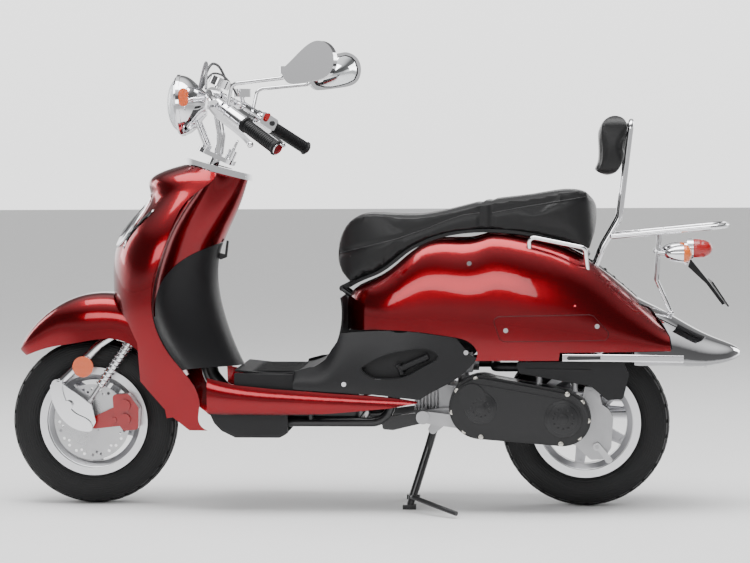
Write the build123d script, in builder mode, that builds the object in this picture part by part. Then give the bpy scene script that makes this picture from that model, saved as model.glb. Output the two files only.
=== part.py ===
"""A retro moped scooter: steel frame, moulded and chromed bodywork, trailing-link fork, swinging engine unit.

Frame of reference: +X to the rear, +Y to the rider's right, +Z up, in millimetres, with the ground at z = 0.
Fore-and-aft places are counted from the middle of the machine's length.
"""

import math
import os

from build123d import *

os.makedirs("parts", exist_ok=True)

# ---------------------------------------------------------------- driving dimensions

# wheels and tyres, both ends alike
wheelbase = 1272.0
front_axle_x = -724.0
rear_axle_x = front_axle_x + wheelbase
tyre_r = 216.0
tyre_half_w = 45.0
bead_r = 127.0
flange_r = 141.0
rim_half_w = 34.0
rim_well_r = 112.0
hub_r = 30.0
hub_half_w = 30.0
axle_r = 6.0
running_gap = 0.05
axle_z = tyre_r

# steering head
rake = 25.0
head_x = -410.0
head_z = 879.0
stem_r = 13.0
head_tube_r = 21.0
head_bottom_z = 572.0
head_top_z = 858.0
crown_z = 484.0

# trailing-link front suspension, all at one distance from the middle on each side
link_pivot = (-810.0, 314.0)
shock_top = (-606.0, 446.0)
shock_foot = (-735.0, 262.0)
leg_y = 64.0
leg_r = 11.0
shock_y = 66.0
shock_tube_r = 11.0
shock_rod_r = 5.0
link_y = 79.0
link_t = 8.0
cover_t = 7.0
shock_eye_play = 3.2
disc_r = 98.0
disc_y = -50.0
disc_t = 3.5

# handlebar and controls
bar_r = 11.0
bar_centre = (-405.0, 0.0, 1060.0)
bar_shoulder = (-405.0, 92.0, 1060.0)
grip_end = (-201.0, 345.0, 918.0)
grip_dir = (0.71, 0.508, -0.492)
grip_len = 125.0
grip_r = 16.5
pod_len = 56.0
bar_corner_back = 252.0
pod_r = 20.0
lever_pivot = (-378.0, 260.0, 1027.0)
lever_tip = (-268.0, 350.0, 930.0)

# headlight
lamp_r = 77.0
lamp_rim_x = -492.0
lamp_z = 1033.0
lamp_tilt = 3.4
lamp_depth = 66.0

# bodywork
skin = 3.0
floor_z = 355.0
floor_half_w = 176.0
sill_half_w = 199.0
seat_half_w = 132.0
seat_base_t = 8.0
cushion_gap = 0.3
seat_lift = 4.0
seat_hinge = (-74.0, 561.0)
hinge_pin_r = 4.0

# backrest hoop and rack
loop_y = 70.0
loop_line = [(562, 590), (592, 668), (634, 740), (663, 984)]
loop_bends = [40, 60]
rack_rail_r = 7.0
rack_y = 80.0

# engine unit
engine_pivot = (137.0, 239.0)
crank = (285.0, 270.0)
clutch = (490.0, 243.0)
belt_case_in = -92.0
belt_case_mid = -128.0
belt_case_out = -182.0
stand_pivot = (159.0, 200.0)
rear_shock_top = (590.0, 520.0)
rear_shock_foot = (560.0, 300.0)
rear_shock_y = -78.0

brake_pivot = (576.0, 164.0)
airbox_outline = [(372, 382), (640, 385), (655, 350), (640, 290), (600, 287), (560, 322), (380, 354)]

# frame rails
rail_y = 98.0
rail_r = 12.0
rail_low_z = 224.0
rail_high_z = 548.0
tail_cross_z = 512.0

# ---------------------------------------------------------------- shared ways of working


def side(y):
    """The side-view plane at a distance y from the middle: local x is X, local y is Z, extruding towards -Y."""
    return Plane.XZ.offset(-y)


def cross(x):
    """The cross-section plane at x: local x is Y, local y is Z, extruding to the rear."""
    return Plane.YZ.offset(x)


def bar(start, end, radius, bore=0.0, mode=Mode.ADD):
    """A straight round bar or tube between two points, added to the piece being built."""
    start, end = Vector(*start), Vector(*end)
    with BuildSketch(Plane(origin=start, z_dir=end - start)) as section:
        Circle(radius)
        if bore:
            Circle(bore, mode=Mode.SUBTRACT)
    extrude(section.sketch, amount=(end - start).length, mode=mode)


def tube(points, bend, radius, bore=0.0):
    """A bent tube: straight runs joined by arcs of the given bend radius, or one radius for each corner."""
    with BuildLine() as route:
        FilletPolyline(*points, radius=bend)
    with BuildSketch(Plane(origin=route.wire() @ 0, z_dir=route.wire() % 0)) as section:
        Circle(radius)
        if bore:
            Circle(bore, mode=Mode.SUBTRACT)
    sweep(section.sketch, path=route.wire())


def plate(outline, y_low, y_high, corner=0.0, mode=Mode.ADD):
    """A flat plate cut to a side-view outline, between two distances from the middle."""
    with BuildSketch(side(y_high)) as section:
        Polygon(*outline, align=None)
        if corner:
            fillet(section.vertices(), corner)
    extrude(section.sketch, amount=y_high - y_low, mode=mode)


def lug(centre, y_low, y_high, radius, bore=0.0, mode=Mode.ADD):
    """A round boss or eye about a cross-wise axis, at a side-view place."""
    bar((centre[0], y_low, centre[1]), (centre[0], y_high, centre[1]), radius, bore, mode)


def strip_section(plane, points, wall, samples=17):
    """A thin curved strip: a smooth outer line through the points, and the same line moved in by the wall."""
    with BuildSketch(plane) as strip:
        with BuildLine():
            outer = Spline(*points)
            inner_points = []
            for step in range(samples):
                share = step / (samples - 1)
                along = outer % share
                inner_points.append(outer @ share + Vector(-along.Y, along.X) * wall)
            inner = Spline(*inner_points)
            Line(outer @ 0, inner @ 0)
            Line(outer @ 1, inner @ 1)
        make_face()
    return strip.sketch


def half_oval(half_w, depth, count=9, fullness=1.0):
    """Points round half an oval from one edge over its crown to the other: across, and below the crown."""
    places = []
    for step in range(count):
        turn = math.radians(90 - 180 * step / (count - 1))
        across = math.copysign(abs(math.sin(turn)) ** fullness, math.sin(turn))
        places.append((half_w * across, depth * (1 - abs(math.cos(turn)) ** fullness)))
    return places


def steering_x(z):
    """Where the steering axis lies at a height."""
    return head_x - (head_z - z) * math.tan(math.radians(rake))


def on_axis(z, forward=0.0, y=0.0):
    """A point at a height on the steering axis, moved forward square to it."""
    lean = math.radians(rake)
    return (steering_x(z) - forward * math.cos(lean), y, z + forward * math.sin(lean))


steering_dir = Vector(math.sin(math.radians(rake)), 0, math.cos(math.radians(rake)))


def both_sides():
    """Repeats the piece built so far on the other side of the machine."""
    mirror(about=Plane.XZ)


# ---------------------------------------------------------------- wheels


def rim_section():
    """Half of a rim's section in radial and axial places, for a revolve about the axle."""
    wall = 5.0
    return [
        (rim_well_r - wall, 0),
        (rim_well_r - wall, 16),
        (bead_r - wall, 20),
        (bead_r - wall, rim_half_w),
        (flange_r, rim_half_w),
        (flange_r, rim_half_w - 3),
        (bead_r, rim_half_w - 4),
        (bead_r, 18),
        (rim_well_r, 14),
        (rim_well_r, 0),
    ]


def wheel_axis(x):
    return Axis((x, 0, axle_z), (0, 1, 0))


def radial_plane(x):
    """Local x runs up from the axle, local y across the wheel."""
    return Plane(origin=(x, 0, axle_z), x_dir=(0, 0, 1), z_dir=(1, 0, 0))


def add_rim(x, first_spoke, hub_width):
    """A cast rim with five spokes and a hub bored for its axle."""
    with BuildSketch(radial_plane(x)) as section:
        Polygon(*rim_section(), align=None)
        mirror(about=Plane.XZ)
    revolve(section.sketch, axis=wheel_axis(x))
    spoke = [(-38, 17), (44, 12), (44, -12), (-38, -17)]
    with BuildSketch(Plane(origin=(x, 0, axle_z), x_dir=(1, 0, 0), z_dir=(0, -1, 0))) as spokes:
        with PolarLocations(65, 5, start_angle=first_spoke):
            Polygon(*spoke, align=None)
        Circle(hub_r - 6)
    extrude(spokes.sketch, amount=13, both=True)
    groove = [(-26, 7), (32, 5), (32, -5), (-26, -7)]
    for face_y in (-13.0, 9.0):
        with BuildSketch(Plane(origin=(x, face_y + 4, axle_z), x_dir=(1, 0, 0), z_dir=(0, -1, 0))) as grooves:
            with PolarLocations(68, 5, start_angle=first_spoke):
                Polygon(*groove, align=None)
        extrude(grooves.sketch, amount=4, mode=Mode.SUBTRACT)
    lug((x, axle_z), -hub_width, hub_width, hub_r)
    lug((x, axle_z), -hub_width - 1, hub_width + 1, axle_r + running_gap, mode=Mode.SUBTRACT)


def add_tyre(x):
    """A hollow tyre seated on the rim's two bead seats."""
    with BuildSketch(radial_plane(x)) as section:
        with BuildLine():
            Line((bead_r, 20), (bead_r, 30))
            Line((bead_r, 30), (flange_r, 31))
            wall = Spline(
                (flange_r, 31),
                (172, tyre_half_w),
                (203, 35),
                (tyre_r, 0),
                tangents=((0.3, 1), (0, -1)),
            )
            Line(wall @ 1, (tyre_r - 11, 0))
            cavity = Spline(
                (tyre_r - 11, 0),
                (194, 28),
                (170, tyre_half_w - 7),
                (flange_r, 23),
                tangents=((0, 1), (-0.5, -1)),
            )
            Line(cavity @ 1, (bead_r, 20))
        make_face()
        mirror(about=Plane.XZ)
    revolve(section.sketch, axis=wheel_axis(x))


with BuildPart() as front_rim:
    add_rim(front_axle_x, -16.0, hub_half_w)
    # the disc carrier is cast on the left side of the hub
    lug((front_axle_x, axle_z), disc_y + disc_t / 2, -hub_half_w, 34, axle_r + 8)
front_rim.part.label = "front_rim"
export_step(front_rim.part, "parts/front_rim.step")

with BuildPart() as front_tyre:
    add_tyre(front_axle_x)
front_tyre.part.label = "front_tyre"
export_step(front_tyre.part, "parts/front_tyre.step")

with BuildPart() as brake_disc:
    with BuildSketch(side(disc_y + disc_t / 2)) as disc_face:
        with Locations((front_axle_x, axle_z)):
            Circle(disc_r)
            Circle(axle_r + 8, mode=Mode.SUBTRACT)
            with PolarLocations(86, 24):
                Circle(4, mode=Mode.SUBTRACT)
            with PolarLocations(78, 12, start_angle=8):
                Circle(3.5, mode=Mode.SUBTRACT)
            with PolarLocations(26, 5, start_angle=20):
                Circle(2.5, mode=Mode.SUBTRACT)
    extrude(amount=disc_t)
brake_disc.part.label = "brake_disc"
export_step(brake_disc.part, "parts/brake_disc.step")

drum_r = 62.0
with BuildPart() as rear_rim:
    add_rim(rear_axle_x, -26.0, hub_half_w)
    # the brake drum is cast round the hub on the left
    lug((rear_axle_x, axle_z), -44, 0, drum_r, drum_r - 6)
rear_rim.part.label = "rear_rim"
export_step(rear_rim.part, "parts/rear_rim.step")

with BuildPart() as rear_tyre:
    add_tyre(rear_axle_x)
rear_tyre.part.label = "rear_tyre"
export_step(rear_tyre.part, "parts/rear_tyre.step")

# ---------------------------------------------------------------- front suspension

link_in = link_y
link_out = link_y + link_t
cover_out = link_out + cover_t
pivot_bolt_r = 7.0

with BuildPart() as front_links:
    # two forged arms trail from the pivots back to the axle
    arm = [
        (link_pivot[0] - 6, link_pivot[1] + 14),
        (link_pivot[0] + 14, link_pivot[1] + 6),
        (shock_foot[0] + 16, shock_foot[1] + 2),
        (front_axle_x + 16, axle_z + 4),
        (front_axle_x + 6, axle_z - 15),
        (front_axle_x - 16, axle_z - 8),
        (link_pivot[0] - 14, link_pivot[1] - 8),
    ]
    plate(arm, link_in, link_out, corner=8)
    lug(link_pivot, leg_y - leg_r, link_out + 1, pivot_bolt_r)
    lug(shock_foot, shock_y - 7, link_out, 4)
    lug(shock_foot, shock_y - 9.5, shock_y - 7, 7.5)
    # a chromed shell covers each arm and curls round the axle
    with BuildSketch(side(cover_out)) as banana:
        with BuildLine():
            Spline(
                (link_pivot[0] - 14, link_pivot[1] + 2),
                (link_pivot[0] - 8, link_pivot[1] - 42),
                (link_pivot[0] + 26, link_pivot[1] - 96),
                (front_axle_x - 8, axle_z - 20),
            )
            Spline(
                (front_axle_x - 8, axle_z - 20),
                (front_axle_x + 8, axle_z - 14),
                (front_axle_x + 4, axle_z + 2),
                (link_pivot[0] + 52, link_pivot[1] - 72),
                (link_pivot[0] + 22, link_pivot[1] - 30),
                (link_pivot[0] + 18, link_pivot[1] + 14),
            )
            Line(
                (link_pivot[0] + 18, link_pivot[1] + 14),
                (link_pivot[0] - 14, link_pivot[1] + 2),
            )
        make_face()
    extrude(amount=cover_out - link_out)
    lug((link_pivot[0] + 30, link_pivot[1] - 51), link_out, cover_out + 6, 13)
    both_sides()
    # the axle runs across both arms, and the disc side carries the caliper bracket
    bar((front_axle_x, -link_out - 2, axle_z), (front_axle_x, link_out + 2, axle_z), axle_r)
    lug((front_axle_x, axle_z), hub_half_w + 0.3, link_in, 10)
    lug((front_axle_x, axle_z), -link_in, disc_y - disc_t / 2 - 0.5, 10)
front_links.part.label = "front_links"
export_step(front_links.part, "parts/front_links.step")

caliper_at = (front_axle_x + 92, axle_z + 30)
with BuildPart() as brake_caliper:
    # the body straddles the disc's edge
    body = [
        (caliper_at[0] - 34, caliper_at[1] + 44),
        (caliper_at[0] + 8, caliper_at[1] + 46),
        (caliper_at[0] + 34, caliper_at[1] + 10),
        (caliper_at[0] + 32, caliper_at[1] - 46),
        (caliper_at[0] - 6, caliper_at[1] - 50),
        (caliper_at[0] - 30, caliper_at[1] - 20),
    ]
    plate(body, disc_y - 26, disc_y + 8, corner=9)
    lug((front_axle_x, axle_z), disc_y - disc_t / 2 - 1, disc_y + 20, disc_r + 2, mode=Mode.SUBTRACT)
    # its bracket reaches in to the axle beside the disc
    bracket = [
        (front_axle_x - 14, axle_z - 12),
        (front_axle_x + 10, axle_z - 16),
        (caliper_at[0] + 6, caliper_at[1] - 36),
        (caliper_at[0] + 10, caliper_at[1] + 30),
        (front_axle_x + 6, axle_z + 15),
        (front_axle_x - 14, axle_z + 12),
    ]
    plate(bracket, disc_y - 14, disc_y - 8, corner=6)
    lug((front_axle_x, axle_z), disc_y - 15, disc_y - 7, 10, mode=Mode.SUBTRACT)
    # two pistons bulge on the outside, with the guide pin's bellows ahead
    for up in (-20, 16):
        lug((caliper_at[0] - 2, caliper_at[1] + up), disc_y - 34, disc_y - 26, 15)
    lug((caliper_at[0] - 30, caliper_at[1] - 22), disc_y - 30, disc_y - 12, 7)
brake_caliper.part.label = "brake_caliper"
export_step(brake_caliper.part, "parts/brake_caliper.step")

shock_run = Vector(shock_top[0] - shock_foot[0], 0, shock_top[1] - shock_foot[1])
shock_dir = shock_run.normalized()


def along_shock(distance, y=shock_y):
    """A point on the front shock's line, from its lower eye."""
    return (shock_foot[0] + shock_dir.X * distance, y, shock_foot[1] + shock_dir.Z * distance)


rod_gap = 0.3
with BuildPart() as front_shock_tubes:
    bar(along_shock(62), along_shock(shock_run.length - 8), shock_tube_r, shock_rod_r + rod_gap)
    bar(along_shock(shock_run.length - 14), along_shock(shock_run.length - 4), shock_tube_r)
    lug(shock_top, shock_y - 8, shock_y + 8, 11)
    lug(shock_top, shock_y - 14, shock_y + 14, 5 + running_gap, mode=Mode.SUBTRACT)
    both_sides()
front_shock_tubes.part.label = "front_shock_tubes"
export_step(front_shock_tubes.part, "parts/front_shock_tubes.step")

with BuildPart() as front_shock_rods:
    bar(along_shock(8), along_shock(150), shock_rod_r)
    lug(shock_foot, shock_y - 6.5, shock_y + 6.5, 11.5)
    lug(shock_foot, shock_y - 8, shock_y + 8, 4 + shock_eye_play, mode=Mode.SUBTRACT)
    bar(along_shock(9), along_shock(22), 8)
    both_sides()
front_shock_rods.part.label = "front_shock_rods"
export_step(front_shock_rods.part, "parts/front_shock_rods.step")

# ---------------------------------------------------------------- fork and fender

yoke_z = 905.0
yoke_t = 12.0
yoke_top_z = yoke_z - 8 + yoke_t * steering_dir.Z
key_r = 4.0
with BuildPart() as fork:
    bar(on_axis(crown_z - 8), on_axis(yoke_z), stem_r)
    # the crown bridges the tyre, and a leg runs down and forward on each side
    crown = on_axis(crown_z)
    bar((crown[0], -leg_y, crown[2]), (crown[0], leg_y, crown[2]), 12)
    bar(on_axis(crown_z - 14), on_axis(crown_z + 14), stem_r + 7)
    for hand in (-1, 1):
        tube(
            [
                (crown[0], hand * leg_y, crown[2]),
                (-700, hand * leg_y, 418),
                (link_pivot[0] + 8, hand * leg_y, link_pivot[1] + 6),
            ],
            120,
            leg_r,
        )
        # an eye carries the link's pivot bolt, and a bracket the shock's upper bolt
        near, far = sorted((hand * (leg_y - leg_r), hand * (link_y - 0.5)))
        lug(link_pivot, near, far, 15)
        lug(link_pivot, near - 1, far + 1, pivot_bolt_r + running_gap, mode=Mode.SUBTRACT)
        near, far = sorted((hand * (shock_y - 15), hand * (shock_y - 11.5)))
        bracket = [
            (shock_top[0] - 12, shock_top[1] - 12),
            (shock_top[0] + 12, shock_top[1] - 12),
            (shock_top[0] + 14, shock_top[1] + 34),
            (shock_top[0] - 16, shock_top[1] + 32),
        ]
        plate(bracket, near, far, corner=5)
        near, far = sorted((hand * (shock_y - 13), hand * (shock_y + 12)))
        lug(shock_top, near, far, 5)
    # the yoke plate clamps the stem over the collar, and two risers carry the handlebar
    with BuildSketch(Plane(origin=on_axis(yoke_z - 8), z_dir=steering_dir, x_dir=(-0.9063, 0, 0.4226))) as yoke:
        RectangleRounded(98, 84, 22)
    extrude(yoke.sketch, amount=yoke_t)
    for hand in (-1, 1):
        tube(
            [
                on_axis(yoke_z + 2, -2, hand * 26),
                (-388, hand * 26, 960),
                (bar_centre[0] + 3, hand * 26, bar_centre[2] - bar_r - 2),
            ],
            60,
            8,
        )
        bar(
            (bar_centre[0], hand * 16, bar_centre[2]),
            (bar_centre[0], hand * 36, bar_centre[2]),
            bar_r + 8,
            bar_r,
        )
    # the ignition lock stands behind the risers
    bar(on_axis(yoke_top_z, -32), on_axis(yoke_top_z + 22, -32), 12)
    bar(on_axis(yoke_top_z + 8, -32), on_axis(yoke_top_z + 24, -32), key_r + 0.4, mode=Mode.SUBTRACT)
fork.part.label = "fork"
export_step(fork.part, "parts/fork.step")

fender_half_w = 90.0
with BuildPart() as front_fender:
    # sections square to the wheel, fanned about the axle from the tip back over the tyre
    sections = []
    for turn, reach, half_w, drop in (
        (136, 272, 26, 26),
        (124, 290, 56, 62),
        (108, 313, 76, 100),
        (92, 331, fender_half_w, 118),
        (76, 338, fender_half_w, 112),
        (60, 334, fender_half_w, 104),
        (44, 306, fender_half_w, 94),
        (26, 270, fender_half_w - 6, 78),
    ):
        spin = math.radians(turn)
        out = Vector(math.cos(spin), 0, math.sin(spin))
        spot = Vector(front_axle_x, 0, axle_z) + out * reach
        fan = Plane(origin=spot, x_dir=(0, 1, 0), z_dir=Vector(0, 1, 0).cross(out))
        arch = [(across, -below) for across, below in half_oval(half_w, drop, 11, 0.65)]
        sections.append(strip_section(fan, arch, skin))
    loft(sections)
    # the fork's stem passes through the top, clamped between two washers
    bar(on_axis(crown_z + 19), on_axis(crown_z + 60), stem_r, mode=Mode.SUBTRACT)
front_fender.part.label = "front_fender"
export_step(front_fender.part, "parts/front_fender.step")

# ---------------------------------------------------------------- frame

with BuildPart() as frame:
    bar(on_axis(head_bottom_z), on_axis(head_top_z), head_tube_r)
    for height in (head_bottom_z, head_top_z - 12):
        bar(on_axis(height), on_axis(height + 12), head_tube_r + 5)
    tube([on_axis(640, -18), (-455, 0, 470), (-418, 0, 330), (-330, 0, rail_low_z + 4)], 60, 22)
    bar(on_axis(head_bottom_z - 30), on_axis(head_top_z + 1), stem_r + 0.3, mode=Mode.SUBTRACT)
    bar((-336, -rail_y, rail_low_z), (-336, rail_y, rail_low_z), 15)
    for hand in (-1, 1):
        tube(
            [
                (-336, hand * rail_y, rail_low_z),
                (46, hand * rail_y, rail_low_z),
                (84, hand * rail_y, 420),
                (190, hand * rail_y, rail_high_z),
                (590, hand * rail_y, rail_high_z),
                (672, hand * rail_y, tail_cross_z - 7),
            ],
            [50, 70, 60, 60],
            rail_r,
        )
        # brackets hold the engine's hanger, the floor and the panels
        near, far = sorted((hand * (rail_y - 6), hand * (rail_y + 6)))
        hanger = [(28, 236), (60, 240), (150, 252), (152, 226), (60, 204), (34, 206)]
        plate(hanger, near, far, corner=6)
        lug(engine_pivot, near - 1, far + 1, 8 + running_gap, mode=Mode.SUBTRACT)
        for x in (-250, -150):
            bar((x, hand * rail_y, rail_low_z), (x, hand * 132, 296), 7)
            bar((x, hand * 130, 296), (x, hand * (sill_half_w - 7), 296), 6)
            bar((x, hand * 163, 296), (x, hand * 163, 311.6), 8)
        bar((76, hand * rail_y, 374), (76, hand * 157.7, 374), 9)
    for x in (-200, -20):
        bar((x, -rail_y, rail_low_z), (x, rail_y, rail_low_z), 9)
    for x, z in ((425.5, rail_high_z), (662, tail_cross_z)):
        bar((x, -rail_y, z), (x, rail_y, z), 9)
    # a forward loop carries the seat's hinge pin
    for hand in (-1, 1):
        tube(
            [
                (78, hand * rail_y, 400),
                (-40, hand * 38, 536),
                (seat_hinge[0], hand * 38, seat_hinge[1]),
            ],
            12,
            6,
        )
    bar((seat_hinge[0], -42, seat_hinge[1]), (seat_hinge[0], 42, seat_hinge[1]), hinge_pin_r)
    bar((rear_shock_top[0], -rail_y, rail_high_z), (rear_shock_top[0], -rail_y - 1, rear_shock_top[1] - 8), 8)
    lug(rear_shock_top, rear_shock_y - 16, rear_shock_y - 9, 9)
    lug(rear_shock_top, rear_shock_y - 16, rear_shock_y + 9, 5)
frame.part.label = "frame"
export_step(frame.part, "parts/frame.step")

# ---------------------------------------------------------------- front bodywork

# for each height: nose, widest point behind it, half width there, and the spine at the back
front_levels = (
    # z, nose x, edge x, edge half width, spine x
    (210, -640, -405, 178, -330),
    (270, -655, -424, 186, -322),
    (330, -664, -440, 192, -312),
    (400, -668, -495, 195, -350),
    (480, -668, -534, 198, -379),
    (560, -668, -541, 200, -397),
    (640, -666, -522, 196, -396),
    (720, -634, -492, 178, -366),
    (800, -572, -446, 140, -332),
    (880, -486, -404, 78, -302),
)
arch_outline = [
    (-1000, 556),
    (-657, 556),
    (-605, 478),
    (-582, 430),
    (-580, 332),
    (-514, 262),
    (-510, 240),
    (-493, 243),
    (-449, 208),
    (-449, 100),
    (-1000, 100),
]
collar_front = (-474.0, 883.0)
collar_back = (-306.0, 836.0)


def collar_line(lift):
    """The slanting line on which the collar sits, raised by some distance."""
    run = Vector(collar_back[0] - collar_front[0], collar_back[1] - collar_front[1])
    up = Vector(-run.Y, run.X).normalized() * lift
    front = Vector(*collar_front) - run * 0.6 + up
    back = Vector(*collar_back) + run * 0.6 + up
    return (front.X, front.Y), (back.X, back.Y)


def cut_above(lift, mode=Mode.SUBTRACT):
    """Takes away everything over the collar's line."""
    front, back = collar_line(lift)
    plate([front, back, (back[0], 1300), (front[0], 1300)], -300, 300, mode=mode)


def apron_section(level):
    z, nose, edge, half_w, spine = level
    outline = [(nose + behind, across) for across, behind in half_oval(half_w, edge - nose)]
    return strip_section(Plane.XY.offset(z), outline, skin)


def inner_section(level):
    z, nose, edge, half_w, spine = level
    reach = spine - edge
    outline = [
        (edge + 3, -half_w + 4),
        (edge + reach * 0.22, -half_w * 0.66),
        (edge + reach * 0.72, -half_w * 0.36),
        (spine, 0),
        (edge + reach * 0.72, half_w * 0.36),
        (edge + reach * 0.22, half_w * 0.66),
        (edge + 3, half_w - 4),
    ]
    return strip_section(Plane.XY.offset(z), outline, skin)


with BuildPart() as front_apron:
    loft([apron_section(level) for level in front_levels])
    plate(arch_outline, -300, 300, mode=Mode.SUBTRACT)
    cut_above(0)
front_apron.part.label = "front_apron"
export_step(front_apron.part, "parts/front_apron.step")

# the knee panel meets the red cover along this line
knee_line = [(-700, 380), (-534, 500), (-520, 588), (-455, 650), (-388, 678), (-250, 684)]
panel_seam = 1.0


def knee_region(shift, up):
    """The side-view region above or below the knee panel's upper edge."""
    far = 1100 if up else 100
    with BuildSketch(side(300)) as region:
        with BuildLine():
            edge = Spline(*[(x, z + shift) for x, z in knee_line[1:]], tangents=((-0.1, 1), (1, 0)))
            Polyline(edge @ 1, (-250, far), (-700, far), (-700, 380 + shift), edge @ 0)
        make_face()
    return region.sketch


with BuildPart() as inner_cover:
    loft([inner_section(level) for level in front_levels[4:]])
    extrude(knee_region(panel_seam, False), amount=600, mode=Mode.SUBTRACT)
    cut_above(0)
inner_cover.part.label = "inner_cover"
export_step(inner_cover.part, "parts/inner_cover.step")

with BuildPart() as knee_panel:
    loft([inner_section(level) for level in front_levels[2:9]])
    extrude(knee_region(0, True), amount=600, mode=Mode.SUBTRACT)
    plate([(-560, 200), (-200, 200), (-200, floor_z + 8), (-560, floor_z + 8)], -300, 300, mode=Mode.SUBTRACT)
    # the bag hook stands on the spine
    hook = [(-400, 640), (-392, 634), (-376, 640), (-371, 682), (-376, 684), (-381, 648), (-398, 652)]
    plate(hook, -6, 6)
knee_panel.part.label = "knee_panel"
export_step(knee_panel.part, "parts/knee_panel.step")

with BuildPart() as apron_collar:
    # a chrome ring round the steering head, cut from the same form as the panels
    top = front_levels[-1]
    with BuildSketch(Plane.XY.offset(790)) as ring:
        with BuildLine():
            Spline((-478, 0), (-436, 66), (-370, 62), (-308, 0), (-370, -62), (-436, -66), periodic=True)
        make_face()
        with Locations((steering_x(880) + 14, 0)):
            Circle(36, mode=Mode.SUBTRACT)
    extrude(ring.sketch, amount=160)
    cut_above(16)
    front, back = collar_line(0.15)
    plate([front, back, (back[0], 500), (front[0], 500)], -300, 300, mode=Mode.SUBTRACT)
apron_collar.part.label = "apron_collar"
export_step(apron_collar.part, "parts/apron_collar.step")

# ---------------------------------------------------------------- floor, sills, belly pan

floor_line = [(-338, 362), (-300, 358), (-191, floor_z), (-136, 370), (-102, 394), (-77, 436), (-69, 544)]
with BuildPart() as floorboard:
    # one moulding makes the floor and the riser up to the seat
    extrude(strip_section(side(150), floor_line, -4), amount=300)
    # the edges stand down to the sills
    for hand in (-1, 1):
        near, far = sorted((hand * 150, hand * floor_half_w))
        plate([(-336, 312), (-118, 312), (-118, floor_z + 10), (-191, floor_z - 3), (-336, floor_z - 1)], near, far)
    with BuildSketch(Plane.XY.offset(floor_z - 4)) as ribs:
        with GridLocations(0, 24, 1, 11):
            with Locations((-240, 0)):
                SlotOverall(130, 7)
    extrude(ribs.sketch, amount=7)
floorboard.part.label = "floorboard"
export_step(floorboard.part, "parts/floorboard.step")

sill_stations = (
    # x, top z, bottom z, half width
    (-404, 344, 248, sill_half_w - 6),
    (-330, 328, 248, sill_half_w - 2),
    (-230, 318, 248, sill_half_w),
    (-110, 310, 248, sill_half_w),
    (10, 303, 246, sill_half_w - 1),
    (126, 296, 244, sill_half_w - 8),
)
sill_outline = [(-404, 344), (-330, 326), (-230, 316), (-110, 308), (10, 301), (80, 294), (126, 286), (126, 282), (60, 270), (-20, 262), (-110, 254), (-230, 250), (-330, 249), (-404, 253)]
with BuildPart() as side_sills:
    # a bowed band each side under the floor's edge
    sections = []
    for x, top, low, half_w in sill_stations:
        tall = top - low
        outline = [
            (-half_w + 22, low),
            (-half_w + 7, low + tall * 0.12),
            (-half_w, low + tall * 0.42),
            (-half_w + 3, low + tall * 0.8),
            (-half_w + 10, top),
        ]
        sections.append(strip_section(cross(x), outline, -skin))
    loft(sections)
    plate(sill_outline, -300, 0, mode=Mode.INTERSECT)
    both_sides()
side_sills.part.label = "side_sills"
export_step(side_sills.part, "parts/side_sills.step")

pan_half_w = 150.0
pan_outline = [(-404, 252), (-392, 226), (-372, 204), (-339, 188), (-225, 188), (-204, 200), (-204, 252)]
with BuildPart() as belly_pan:
    with BuildSketch(side(pan_half_w)) as pan_side:
        Polygon(*pan_outline, align=None)
        fillet(pan_side.vertices().group_by(Axis.Y)[0], 12)
    extrude(pan_side.sketch, amount=2 * pan_half_w)
    fillet(belly_pan.edges().filter_by(GeomType.LINE).group_by(Axis.Z)[0], 8)
    pan_inside = [(-420, 400), (-395, 230), (-374, 207), (-340, 192), (-228, 192), (-190, 202), (-190, 400)]
    plate(pan_inside, -pan_half_w + 4, pan_half_w - 4, mode=Mode.SUBTRACT)
    # a notch clears the frame's down tube, and bosses meet its cross tube
    bar((-440, 0, 355), (-330, 0, rail_low_z + 4), 23, mode=Mode.SUBTRACT)
    for across in (-60, 60):
        bar((-336, across, 190), (-336, across, rail_low_z - 15.3), 8)
belly_pan.part.label = "belly_pan"
export_step(belly_pan.part, "parts/belly_pan.step")

# ---------------------------------------------------------------- rear bodywork

body_stations = (
    # x, top half width, top z, widest half width, widest z, bottom half width
    (-58, 16, 545, 46, 500, 44),
    (-44, 44, 558, 92, 500, 90),
    (-14, 76, 575, 138, 492, 136),
    (30, 92, 596, 164, 484, 162),
    (90, 100, 643, 178, 474, 176),
    (190, 104, 688, 190, 462, 187),
    (300, 104, 700, 194, 448, 191),
    (400, 100, 692, 193, 440, 190),
    (490, 92, 668, 187, 434, 184),
    (560, 76, 632, 179, 430, 176),
    (620, 46, 588, 169, 426, 166),
    (680, 26, 537, 155, 422, 152),
    (760, 14, 468, 133, 418, 130),
)
body_bottom_z = 389.0
tail_seam = [(672, 640), (683, 521), (712, 511), (738, 478), (757, 443), (764, 380)]
peg_top = [(-64, 458), (-20, 462), (119, 461), (212, 449), (262, 432), (277, 408), (262, 378), (191, 326), (134, 293)]


def body_side(station):
    """Half a cross-section of the rear body, from its top edge over the bulge to the bottom edge."""
    x, top_w, top_z, wide_w, wide_z, low_w = station
    places = []
    for step in range(7):
        turn = math.radians(15 * step)
        across = top_w + (wide_w - top_w) * math.sin(turn) ** 0.9
        places.append((-across, wide_z + (top_z - wide_z) * math.cos(turn) ** 0.9))
    places.append((-(wide_w + low_w) / 2 - 0.6, (wide_z + body_bottom_z) / 2))
    places.append((-low_w, body_bottom_z))
    return places


def tail_region(shift):
    """The side-view region behind the seam between the side covers and the tail fairing."""
    with BuildSketch(side(300)) as region:
        with BuildLine():
            seam = Polyline(*[(x + shift, z) for x, z in tail_seam])
            Polyline(seam @ 1, (1000, 380), (1000, 700), (700, 700), seam @ 0)
        make_face()
    return region.sketch


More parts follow.
